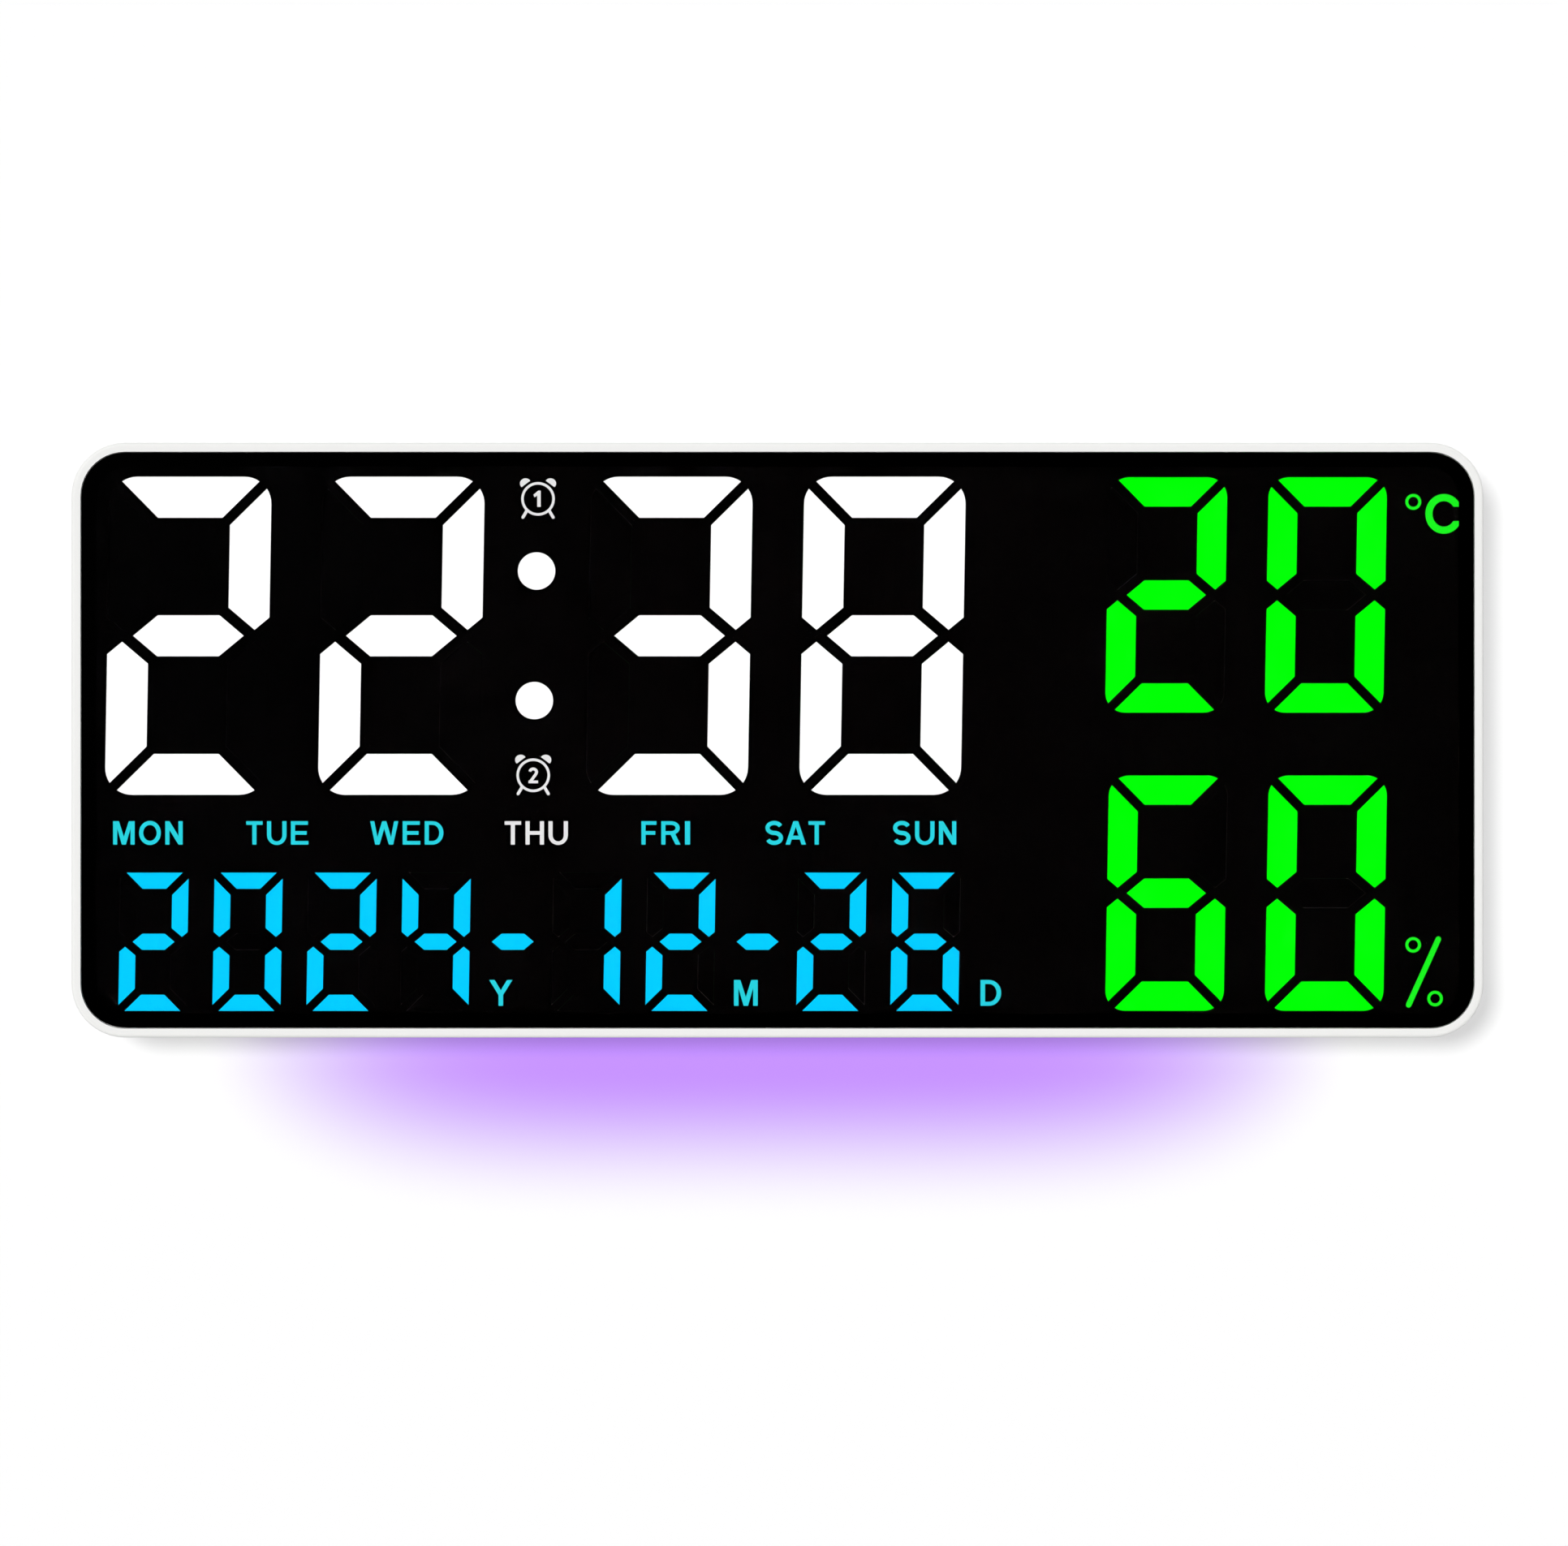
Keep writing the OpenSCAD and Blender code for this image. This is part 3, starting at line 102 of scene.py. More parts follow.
# Moulded plastic: spark-eroded tool texture gives a soft, slightly uneven sheen.
# The real grain is about 0.1 mm; it is drawn at grainSize so that it still shows in a close view.
def mouldedPlastic(name, colour, roughness, grainSize, grainDepth, mottle=0.02, sheen=0.5,
                   flowSize=40.0, glossSpread=0.05):
    material, tree, shader = newMaterial(name)
    place = addNode(tree, "ShaderNodeTexCoord").outputs["Object"]
    grain = addNode(tree, "ShaderNodeTexNoise", {
        "Vector": place, "Scale": 1 / (grainSize * mm), "Detail": 3.0})
    flow = addNode(tree, "ShaderNodeTexNoise", {
        "Vector": place, "Scale": 1 / (flowSize * mm), "Detail": 2.0})
    tint = addNode(tree, "ShaderNodeMix", {
        mixShare: flow.outputs["Fac"], mixFrom: linear(colour), mixTo: linear(colour, 1 - mottle)},
        data_type="RGBA")
    gloss = addNode(tree, "ShaderNodeMapRange", {
        "Value": grain.outputs["Fac"], "To Min": roughness - glossSpread, "To Max": roughness + glossSpread})
    bump = addNode(tree, "ShaderNodeBump", {
        "Height": grain.outputs["Fac"], "Strength": 0.25, "Distance": grainDepth * mm})
    tree.links.new(tint.outputs[mixResult], shader.inputs["Base Color"])
    tree.links.new(gloss.outputs["Result"], shader.inputs["Roughness"])
    tree.links.new(bump.outputs["Normal"], shader.inputs["Normal"])
    shader.inputs["IOR"].default_value = 1.53
    shader.inputs["Specular IOR Level"].default_value = sheen
    return material


# Reflector block: white inside its wells, and printed black near its front so that no light strays.
def printedReflector(name, colour, ink, inkDepth):
    material = mouldedPlastic(name, colour, roughness=0.5, grainSize=0.5, grainDepth=0.02, sheen=0.1)
    tree = material.node_tree
    shader = tree.nodes["Principled BSDF"]
    body = shader.inputs["Base Color"].links[0].from_socket
    place = addNode(tree, "ShaderNodeTexCoord").outputs["Object"]
    parts = addNode(tree, "ShaderNodeSeparateXYZ", {"Vector": place})
    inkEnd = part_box("reflector")[0].y + inkDepth * mm
    near = addNode(tree, "ShaderNodeMath", {0: parts.outputs["Y"], 1: inkEnd}, operation="LESS_THAN")
    inked = addNode(tree, "ShaderNodeMix", {
        mixShare: near.outputs["Value"], mixFrom: body, mixTo: linear(ink)}, data_type="RGBA")
    tree.links.new(inked.outputs[mixResult], shader.inputs["Base Color"])
    return material


# Lit diffuser or lit print: an opal layer with light behind it, even to within a few hundredths.
# It is bonded behind the panel, so it has no gloss of its own.
def litPlastic(name, colour, strength, spotSize=9.0, uneven=0.015, unlitShare=0.08):
    material, tree, shader = newMaterial(name)
    place = addNode(tree, "ShaderNodeTexCoord").outputs["Object"]
    cloud = addNode(tree, "ShaderNodeTexNoise", {
        "Vector": place, "Scale": 1 / (spotSize * mm), "Detail": 1.0})
    level = addNode(tree, "ShaderNodeMapRange", {
        "Value": cloud.outputs["Fac"], "To Min": strength * (1 - uneven), "To Max": strength * (1 + uneven)})
    tree.links.new(level.outputs["Result"], shader.inputs["Emission Strength"])
    shader.inputs["Emission Color"].default_value = linear(colour)
    shader.inputs["Base Color"].default_value = linear(colour, unlitShare)
    shader.inputs["Roughness"].default_value = 0.5
    shader.inputs["Specular IOR Level"].default_value = 0.0
    return material


# Plated or drawn metal: fine rolling lines, stretched along one axis, break up the mirror.
def platedMetal(name, colour, roughness, lineSize=0.25, stretch=(1.0, 1.0, 8.0), lineDepth=0.02,
                glossSpread=0.08):
    material, tree, shader = newMaterial(name)
    place = addNode(tree, "ShaderNodeTexCoord").outputs["Object"]
    lay = addNode(tree, "ShaderNodeMapping", {
        "Vector": place, "Scale": [1 / (lineSize * mm * s) for s in stretch]})
    lines = addNode(tree, "ShaderNodeTexNoise", {
        "Vector": lay.outputs["Vector"], "Scale": 1.0, "Detail": 2.0})
    gloss = addNode(tree, "ShaderNodeMapRange", {
        "Value": lines.outputs["Fac"], "To Min": roughness - glossSpread, "To Max": roughness + glossSpread})
    bump = addNode(tree, "ShaderNodeBump", {
        "Height": lines.outputs["Fac"], "Strength": 0.15, "Distance": lineDepth * mm})
    tree.links.new(gloss.outputs["Result"], shader.inputs["Roughness"])
    tree.links.new(bump.outputs["Normal"], shader.inputs["Normal"])
    shader.inputs["Base Color"].default_value = linear(colour)
    shader.inputs["Metallic"].default_value = 1.0
    return material


# Circuit laminate: lacquer over copper runs, which show as slightly lighter or darker lines.
# The runs are the joints of a brick pattern whose unit is six times runWidth.
def circuitLaminate(name, lacquer, run, runWidth=0.8, runDepth=0.03):
    material, tree, shader = newMaterial(name)
    place = addNode(tree, "ShaderNodeTexCoord").outputs["Object"]
    lay = addNode(tree, "ShaderNodeMapping", {"Vector": place, "Rotation": (math.radians(90), 0.0, 0.0)})
    runs = addNode(tree, "ShaderNodeTexBrick", {
        "Vector": lay.outputs["Vector"], "Scale": 1 / (6 * runWidth * mm), "Color1": linear(lacquer),
        "Color2": linear(lacquer, 1.1), "Mortar": linear(run), "Mortar Size": 0.06, "Brick Width": 2.6,
        "Row Height": 0.5})
    bump = addNode(tree, "ShaderNodeBump", {
        "Height": runs.outputs["Fac"], "Strength": 0.3, "Distance": runDepth * mm})
    tree.links.new(runs.outputs["Color"], shader.inputs["Base Color"])
    tree.links.new(bump.outputs["Normal"], shader.inputs["Normal"])
    shader.inputs["Roughness"].default_value = 0.35
    return material


# Cast acrylic, polished: clear, with a faint waviness that only bends sharp reflections.
def polishedAcrylic(name, tint, waveSize=30.0, waveDepth=0.05):
    material, tree, shader = newMaterial(name)
    place = addNode(tree, "ShaderNodeTexCoord").outputs["Object"]
    wave = addNode(tree, "ShaderNodeTexNoise", {
        "Vector": place, "Scale": 1 / (waveSize * mm), "Detail": 1.0})
    bump = addNode(tree, "ShaderNodeBump", {
        "Height": wave.outputs["Fac"], "Strength": 0.04, "Distance": waveDepth * mm})
    tree.links.new(bump.outputs["Normal"], shader.inputs["Normal"])
    shader.inputs["Base Color"].default_value = linear(tint)
    shader.inputs["Transmission Weight"].default_value = 1.0
    shader.inputs["Roughness"].default_value = 0.015
    shader.inputs["IOR"].default_value = 1.49
    return material


# Opal acrylic with coloured light inside: each LED makes the bar a little brighter above it.
def glowingOpal(name, colour, opal, strength, ledPitch, ledDip=0.12):
    material, tree, shader = newMaterial(name)
    place = addNode(tree, "ShaderNodeTexCoord").outputs["Object"]
    parts = addNode(tree, "ShaderNodeSeparateXYZ", {"Vector": place})
    turn = addNode(tree, "ShaderNodeMath", {
        0: parts.outputs["X"], 1: 2 * math.pi / (ledPitch * mm)}, operation="MULTIPLY")
    ripple = addNode(tree, "ShaderNodeMath", {0: turn.outputs["Value"]}, operation="COSINE")
    level = addNode(tree, "ShaderNodeMapRange", {
        "Value": ripple.outputs["Value"], "From Min": -1.0, "From Max": 1.0,
        "To Min": strength * (1 - ledDip), "To Max": strength})
    tree.links.new(level.outputs["Result"], shader.inputs["Emission Strength"])
    shader.inputs["Emission Color"].default_value = linear(colour)
    shader.inputs["Base Color"].default_value = linear(opal)
    shader.inputs["Roughness"].default_value = 0.3
    shader.inputs["IOR"].default_value = 1.49
    return material


# Along a cell, from the middle of the pair: where sleeve and band lie
cellMarks = {"sleeveMiddle": 0.65, "sleeveHalf": 21.25, "bandMiddle": 16.5, "bandHalf": 3.5}


# Dry cell: a shrunk printed sleeve with a paler band near the plus end, and bare steel at both ends.
# The two cells lie head to tail, so the way along a cell turns over between them.
def sleevedCell(name, sleeve, band, steel):
    material = mouldedPlastic(name, sleeve, roughness=0.3, grainSize=1.2, grainDepth=0.02, mottle=0.1)
    tree = material.node_tree
    shader = tree.nodes["Principled BSDF"]
    plain = shader.inputs["Base Color"].links[0].from_socket
    middle = sum(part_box("backup_cells"), Vector()) / 2
    place = addNode(tree, "ShaderNodeTexCoord").outputs["Object"]
    parts = addNode(tree, "ShaderNodeSeparateXYZ", {"Vector": place})
    upper = addNode(tree, "ShaderNodeMath", {0: parts.outputs["Z"], 1: middle.z}, operation="GREATER_THAN")
    way = addNode(tree, "ShaderNodeMapRange", {
        "Value": upper.outputs["Value"], "To Min": -1.0, "To Max": 1.0})
    off = addNode(tree, "ShaderNodeMath", {0: parts.outputs["X"], 1: middle.x}, operation="SUBTRACT")
    along = addNode(tree, "ShaderNodeMath", {
        0: off.outputs["Value"], 1: way.outputs["Result"]}, operation="MULTIPLY").outputs["Value"]
    onBand, onSleeve = [addNode(tree, "ShaderNodeMath", {
        0: along, 1: cellMarks[part + "Middle"] * mm, 2: cellMarks[part + "Half"] * mm},
        operation="COMPARE").outputs["Value"] for part in ("band", "sleeve")]
    wrap = addNode(tree, "ShaderNodeMix", {
        mixShare: onBand, mixFrom: plain, mixTo: linear(band)}, data_type="RGBA")
    whole = addNode(tree, "ShaderNodeMix", {
        mixShare: onSleeve, mixFrom: linear(steel), mixTo: wrap.outputs[mixResult]}, data_type="RGBA")
    bare = addNode(tree, "ShaderNodeMath", {0: 1.0, 1: onSleeve}, operation="SUBTRACT")
    tree.links.new(whole.outputs[mixResult], shader.inputs["Base Color"])
    tree.links.new(bare.outputs["Value"], shader.inputs["Metallic"])
    return material


finishes = {
    # ABS from a spark-eroded tool: an even white with a fine, soft grain
    "whiteCase": mouldedPlastic("White ABS, fine moulded texture", "#F4F4F2", roughness=0.42, grainSize=0.35,
                                grainDepth=0.02),
    # The same ABS from a smoother tool: keys shine a little more than the case
    "whiteKey": mouldedPlastic("White ABS, satin key", "#F1F1EF", roughness=0.34, grainSize=0.3,
                               grainDepth=0.012),
    # Cast acrylic, polished on both faces: a clear, glossy front
    "panel": polishedAcrylic("Clear acrylic, polished", "#FFFFFF"),
    # Closed-cell foam tape: dull black with fine pores
    "tape": mouldedPlastic("Black foam tape", "#070606", roughness=0.85, grainSize=0.4, grainDepth=0.05,
                           mottle=0.2, sheen=0.0),
    # Screen print on polyester film: deep black, with no gloss of its own behind the panel
    "film": mouldedPlastic("Black screen print on film", "#040303", roughness=0.8, grainSize=0.5,
                           grainDepth=0.005, mottle=0.2, sheen=0.0),
    # Moulded ABS, its front printed black: the wells glow and the walls between them stay dark
    "reflector": printedReflector("White reflector ABS, black front", "#EDEDEA", ink="#050404", inkDepth=1.8),
    # Opal polystyrene over LEDs of three colours: evenly lit figures with crisp edges
    "litWhite": litPlastic("Opal diffuser lit white", "#FFFFFF", strength=1.08),
    "litCyan": litPlastic("Opal diffuser lit cyan", "#04CBFF", strength=1.06),
    "litGreen": litPlastic("Opal diffuser lit green", "#01FF04", strength=1.06),
    # Translucent inks on the film: lit words and signs, a little dimmer than the figures
    "printCyan": litPlastic("Translucent ink lit cyan", "#2CE0EC", strength=0.87, spotSize=3.0),
    "printWhite": litPlastic("Translucent ink lit white", "#EDEDED", strength=0.95, spotSize=3.0),
    "printGreen": litPlastic("Translucent ink lit green", "#1CF421", strength=0.98, spotSize=3.0),
    # Opal polystyrene under smoke tint with no light behind it: nearly black
    "unlit": mouldedPlastic("Smoked diffuser, unlit", "#040303", roughness=0.8, grainSize=0.5,
                            grainDepth=0.005, mottle=0.2, sheen=0.0),
    # Opal polystyrene in daylight: milky white, half matt
    "milky": mouldedPlastic("Opal diffuser", "#D9D9D6", roughness=0.45, grainSize=0.6, grainDepth=0.01),
    # Epoxy with phosphor, cast over a chip: shiny yellow
    "ledResin": mouldedPlastic("LED phosphor resin", "#E6CF7A", roughness=0.25, grainSize=0.4,
                               grainDepth=0.01, mottle=0.08),
    # Glass-epoxy laminate under lacquer: copper runs show as lines of another shade
    "laminate": circuitLaminate("Glass-epoxy laminate, green lacquer", "#0E5A34", run="#1C7A48"),
    "stripLaminate": circuitLaminate("Laminate, white lacquer", "#E8E8E4", run="#CFCFC8", runWidth=0.6),
    # Transfer-moulded epoxy: dull black, slightly sandy
    "chipResin": mouldedPlastic("Chip epoxy", "#1A1A1B", roughness=0.6, grainSize=0.15, grainDepth=0.01,
                                mottle=0.1),
    # Rolled steel, zinc plated: bluish grey with faint lines
    "plated": platedMetal("Zinc-plated steel", "#C4C6C9", roughness=0.32),
    # Spring strip, nickel plated: warmer and brighter, with lines along the strip
    "nickel": platedMetal("Nickel-plated spring strip", "#D2CFC8", roughness=0.25, lineSize=0.2,
                          stretch=(8.0, 1.0, 1.0)),
    # Aluminium can, deep drawn: bright, with lines along the draw
    "canister": platedMetal("Aluminium can, drawn", "#D5D6D8", roughness=0.3, lineSize=0.2,
                            stretch=(1.0, 8.0, 1.0)),
    # Moulded nylon: half-matt black
    "blackNylon": mouldedPlastic("Black nylon", "#141415", roughness=0.5, grainSize=0.3, grainDepth=0.02,
                                 mottle=0.1),
    # Moulded ABS in pale blue: half matt
    "sensorShell": mouldedPlastic("Sensor shell, pale blue ABS", "#7FB4DE", roughness=0.45, grainSize=0.4,
                                  grainDepth=0.02),
    # Extruded opal acrylic, lit from inside: violet, a little brighter over each LED
    "lightBar": glowingOpal("Opal acrylic with violet light", "#C390FD", opal="#8F7FB0", strength=1.0,
                            ledPitch=16.0),
    # Printed PVC sleeve, shrunk on: smooth and dark, with a pale band
    "cellSleeve": sleevedCell("Shrink sleeve on a cell", "#2B2C30", band="#9FB4A4", steel="#C9CACC"),
    # Pad-printing ink: a thin, half-matt black film
    "keyInk": mouldedPlastic("Black pad-printing ink", "#2E2F32", roughness=0.55, grainSize=0.2,
                             grainDepth=0.004, mottle=0.1, sheen=0.3),
    # Moulded nitrile rubber: dull black that hides highlights
    "rubber": mouldedPlastic("Nitrile rubber", "#151515", roughness=0.85, grainSize=0.25, grainDepth=0.04,
                             mottle=0.15),
}

keyNumbers = range(1, 6)
finishNodes = {
    "whiteCase": ["front_frame", "rear_cover", "battery_door", "foot_left", "foot_right"],
    "whiteKey": ["button_%d" % i for i in keyNumbers],
    "panel": ["front_panel"],
    "tape": ["panel_tape"],
    "film": ["mask_film"],
    "reflector": ["reflector"],
    "litWhite": ["time_segments", "colon_dots_lit"],
    "litCyan": ["date_segments"],
    "litGreen": ["temperature_segments", "humidity_segments"],
    "unlit": ["unlit_segments"],
    "milky": ["legend_diffusers"],
    "ledResin": ["display_leds", "colour_leds"],
    "laminate": ["main_board", "switch_board"],
    "stripLaminate": ["led_strip"],
    "chipResin": ["controller_chip", "driver_chips"],
    "plated": ["board_screws", "case_screws", "switch_board_screws", "switch_bodies", "foot_pins",
               "usb_shell"],
    "nickel": ["cell_contacts"],
    "canister": ["crystal", "capacitors"],
    "blackNylon": ["usb_tongue", "buzzer", "switch_header", "strip_header"]
                  + ["plunger_%d" % i for i in keyNumbers],
    "sensorShell": ["climate_sensor"],
    "lightBar": ["light_bar"],
    "cellSleeve": ["backup_cells"],
    "rubber": ["foot_pad_left", "foot_pad_right"],
}
for finish, nodes in finishNodes.items():
    for node in nodes:
        slots = frame["nodes"][node].data.materials
        slots.clear()
        slots.append(finishes[finish])
print("stage: finishes on", sum(len(nodes) for nodes in finishNodes.values()), "nodes")


# Letters and signs are drawn flat: each is a list of loops of (across, up) points. Strokes overlap where they
# meet, so that they join.
def arcPoints(cx, cz, rx, rz, start, end, count):
    angles = [math.radians(start + (end - start) * i / count) for i in range(count + 1)]
    return [(cx + rx * math.cos(a), cz + rz * math.sin(a)) for a in angles]


def ribbon(path, width):  # outline of a stroke of even width along a path
    left, right = [], []
    for i, (x, z) in enumerate(path):
        ax, az = path[max(i - 1, 0)]
        bx, bz = path[min(i + 1, len(path) - 1)]
        length = math.hypot(bx - ax, bz - az)
        nx, nz = (az - bz) / length * width / 2, (bx - ax) / length * width / 2
        left.append((x + nx, z + nz))
        right.append((x - nx, z - nz))
    return left + right[::-1]


def ring(cx, cz, rx, rz, width, count=24):  # two halves that overlap by a step, so that no loop has a hole
    step = 180 / count
    halves = [arcPoints(cx, cz, rx - width / 2, rz - width / 2, a - step, a + 180 + step, count + 2)
              for a in (0, 180)]
    return [ribbon(half, width) for half in halves]


def bar(x0, z0, x1, z1):
    return [(x0, z0), (x1, z0), (x1, z1), (x0, z1)]


def roundBar(a, b, width, count=8):  # a stroke with round ends
    angle = math.degrees(math.atan2(b[1] - a[1], b[0] - a[0]))
    return (arcPoints(a[0], a[1], width / 2, width / 2, angle + 90, angle + 270, count)
            + arcPoints(b[0], b[1], width / 2, width / 2, angle - 90, angle + 90, count))


letterStyle = {  # lengths in cap heights, angles in degrees
    "stroke": 0.176,  # width of upright strokes
    "level": 0.88,  # level strokes, as a share of upright ones
    "overshoot": 0.015,  # how far round letters pass the lines above and below
    "gap": 0.19,
    "tuck": 0.08,  # A stands closer to its neighbours
    "ends": {"C": 21, "S": 22},  # from level to where their strokes end
    "curve": {"C": 30, "U": 16, "D": 16, "R": 16, "S": 18},  # steps in a curve
    "widths": {"M": 0.92, "O": 0.93, "N": 0.74, "T": 0.7, "U": 0.83, "E": 0.75, "W": 1.2, "D": 0.8, "H": 0.79,
               "F": 0.66, "R": 0.82, "I": 0.22, "S": 0.75, "A": 0.87, "Y": 0.9, "C": 0.86, "+": 0.9,
               "-": 0.8},
}


# In these, w is the letter's width, s its stroke, t a level stroke and c its middle; cap height is 1
def straightLetter(letter, w, s):
    t, c = letterStyle["level"] * s, w / 2
    stem = bar(0, 0, s, 1)
    dash = bar(0, 0.5 - s / 2, w, 0.5 + s / 2)
    arms = [bar(s / 2, 1 - t, 0.97 * w, 1), bar(s / 2, 0.5 - t / 2, 0.9 * w, 0.5 + t / 2)]
    shapes = {
        "I": [bar(0, 0, w, 1)],
        "-": [dash],
        "+": [dash, bar(c - s / 2, 0.5 - c, c + s / 2, 0.5 + c)],
        "T": [bar(0, 1 - t, w, 1), bar(c - s / 2, 0, c + s / 2, 1 - t / 2)],
        "F": [stem] + arms,
        "E": [stem] + arms + [bar(s / 2, 0, w, t)],
        "H": [stem, bar(w - s, 0, w, 1), bar(s / 2, 0.5 - t / 2, w - s / 2, 0.5 + t / 2)],
    }
    return shapes.get(letter, [])


def slantingLetter(letter, w, s):
    c = w / 2
    footA, peakA = 1.08 * s, 0.76  # A: width of a foot, and height of its inner peak
    barLow, barHigh = 0.22, 0.38
    endLow, endHigh = [0.6 * footA + (c - footA) * z / peakA for z in (barLow, barHigh)]
    footW = 0.18 * w  # W: how far in its feet stand
    shapes = {
        "N": [[(0, 0), (s, 0), (s, 0.63), (w - s, 0), (w, 0), (w, 1), (w - s, 1), (w - s, 0.37), (s, 1),
               (0, 1)]],
        "M": [[(0, 0), (s, 0), (s, 0.68), (c - 0.48 * s, 0), (c + 0.48 * s, 0), (w - s, 0.68), (w - s, 0),
               (w, 0), (w, 1), (w - 1.4 * s, 1), (c, 0.34), (1.4 * s, 1), (0, 1)]],
        "W": [[(footW, 0), (footW + 1.05 * s, 0), (c, 0.68), (w - footW - 1.05 * s, 0), (w - footW, 0),
               (w, 1), (w - s, 1), (w - footW - 0.52 * s, 0.32), (c + 0.5 * s, 1), (c - 0.5 * s, 1),
               (footW + 0.52 * s, 0.32), (s, 1), (0, 1)]],
        "A": [[(0, 0), (footA, 0), (c, peakA), (w - footA, 0), (w, 0), (c + 0.58 * s, 1), (c - 0.58 * s, 1)],
              [(endLow, barLow), (w - endLow, barLow), (w - endHigh, barHigh), (endHigh, barHigh)]],
        "Y": [[(c - s / 2, 0), (c + s / 2, 0), (c + s / 2, 0.42), (w, 1), (w - 1.18 * s, 1), (c, 0.6),
               (1.18 * s, 1), (0, 1), (c - s / 2, 0.42)]],
    }
    return shapes.get(letter, [])


# Each bowl's lower edge, and as shares of the width where its curve starts and how far it reaches
letterBowls = {"D": {"low": 0.0, "turn": 0.42, "reach": 1.0}, "R": {"low": 0.42, "turn": 0.52, "reach": 0.96}}


def bowlLetter(letter, w, s):  # D, or R with its leg
    t = letterStyle["level"] * s
    low = letterBowls[letter]["low"]
    turn = letterBowls[letter]["turn"] * w
    reach = letterBowls[letter]["reach"] * w - turn
    rise = (1 - low) / 2
    steps = letterStyle["curve"][letter]
    bowl = [(s / 2, low)] + arcPoints(turn, low + rise, reach, rise, -90, 90, steps) + [(s / 2, 1)]
    bowl += [(s / 2, 1 - t)] + arcPoints(turn, low + rise, reach - s, rise - t, 90, -90, steps)
    bowl += [(s / 2, low + t)]
    knee, kneeZ, legWidth = 0.7 * w, low + t / 2, 1.2 * s
    leg = [(w - legWidth, 0), (w, 0), (knee, kneeZ), (knee - legWidth, kneeZ)]
    return [bar(0, 0, s, 1), bowl] + ([leg] if letter == "R" else [])


def roundLetter(letter, w, s):
    t, c = letterStyle["level"] * s, w / 2
    tall = 0.5 + letterStyle["overshoot"]
    if letter == "O":
        return ring(c, 0.5, c, tall, s)
    steps = letterStyle["curve"][letter]
    if letter == "C":
        outer = letterStyle["ends"][letter]
        inner = math.degrees(math.asin(tall * math.sin(math.radians(outer)) / (tall - s)))  # level ends
        return [arcPoints(c, 0.5, c, tall, outer, 360 - outer, steps)
                + arcPoints(c, 0.5, c - s, tall - s, 360 - inner, inner, steps)]
    if letter == "U":
        turn = 0.4  # where its legs begin to curve
        drop = turn + letterStyle["overshoot"]
        return [[(0, 1)] + arcPoints(c, turn, c, drop, 180, 360, steps) + [(w, 1), (w - s, 1)]
                + arcPoints(c, turn, c - s, drop - t, 360, 180, steps) + [(s, 1)]]
    if letter == "S":  # two arcs that meet at mid height
        end = letterStyle["ends"][letter]
        rise = (tall - s / 2) / 2
        spine = arcPoints(c, 0.5 + rise, c - s / 2, rise, end, 270, steps)
        spine += arcPoints(c, 0.5 - rise, c - s / 2, rise, 90, end - 180, steps)[1:]
        return [ribbon(spine, s)]
    return bowlLetter(letter, w, s)


def letterLoops(letter, w, s):
    return straightLetter(letter, w, s) or slantingLetter(letter, w, s) or roundLetter(letter, w, s)


def wordLoops(word, cap):  # a word in millimetres, centred on its middle
    loops, x = [], 0.0
    for i, letter in enumerate(word):
        w = letterStyle["widths"][letter]
        stroke = w if letter == "I" else letterStyle["stroke"]
        loops += [[(x + px, pz - 0.5) for px, pz in loop] for loop in letterLoops(letter, w, stroke)]
        pair = word[i:i + 2]
        x += w + letterStyle["gap"] - (letterStyle["tuck"] if "A" in pair else 0.0)
    across = [px for loop in loops for px, pz in loop]
    middle = (min(across) + max(across)) / 2
    return [[((px - middle) * cap, pz * cap) for px, pz in loop] for loop in loops]


# The print lies on the front of the film
printLayer = {"back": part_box("mask_film")[0].y / mm, "thickness": 0.04}


def plateMesh(name, loops):  # millimetres in; each loop becomes a closed plate, as thick as the print
    shape = bmesh.new()
    for loop in loops:
        rear, front = [[shape.verts.new((px * mm, y * mm, pz * mm)) for px, pz in loop]
                       for y in (0.0, -printLayer["thickness"])]
        shape.faces.new(rear)
        shape.faces.new(front[::-1])
        for i in range(len(loop)):
            shape.faces.new((rear[i - 1], rear[i], front[i], front[i - 1]))
    bmesh.ops.recalc_face_normals(shape, faces=shape.faces[:])
    bmesh.ops.triangulate(shape, faces=[face for face in shape.faces if len(face.verts) > 4])
    mesh = bpy.data.meshes.new(name)
    shape.to_mesh(mesh)
    shape.free()
    return mesh


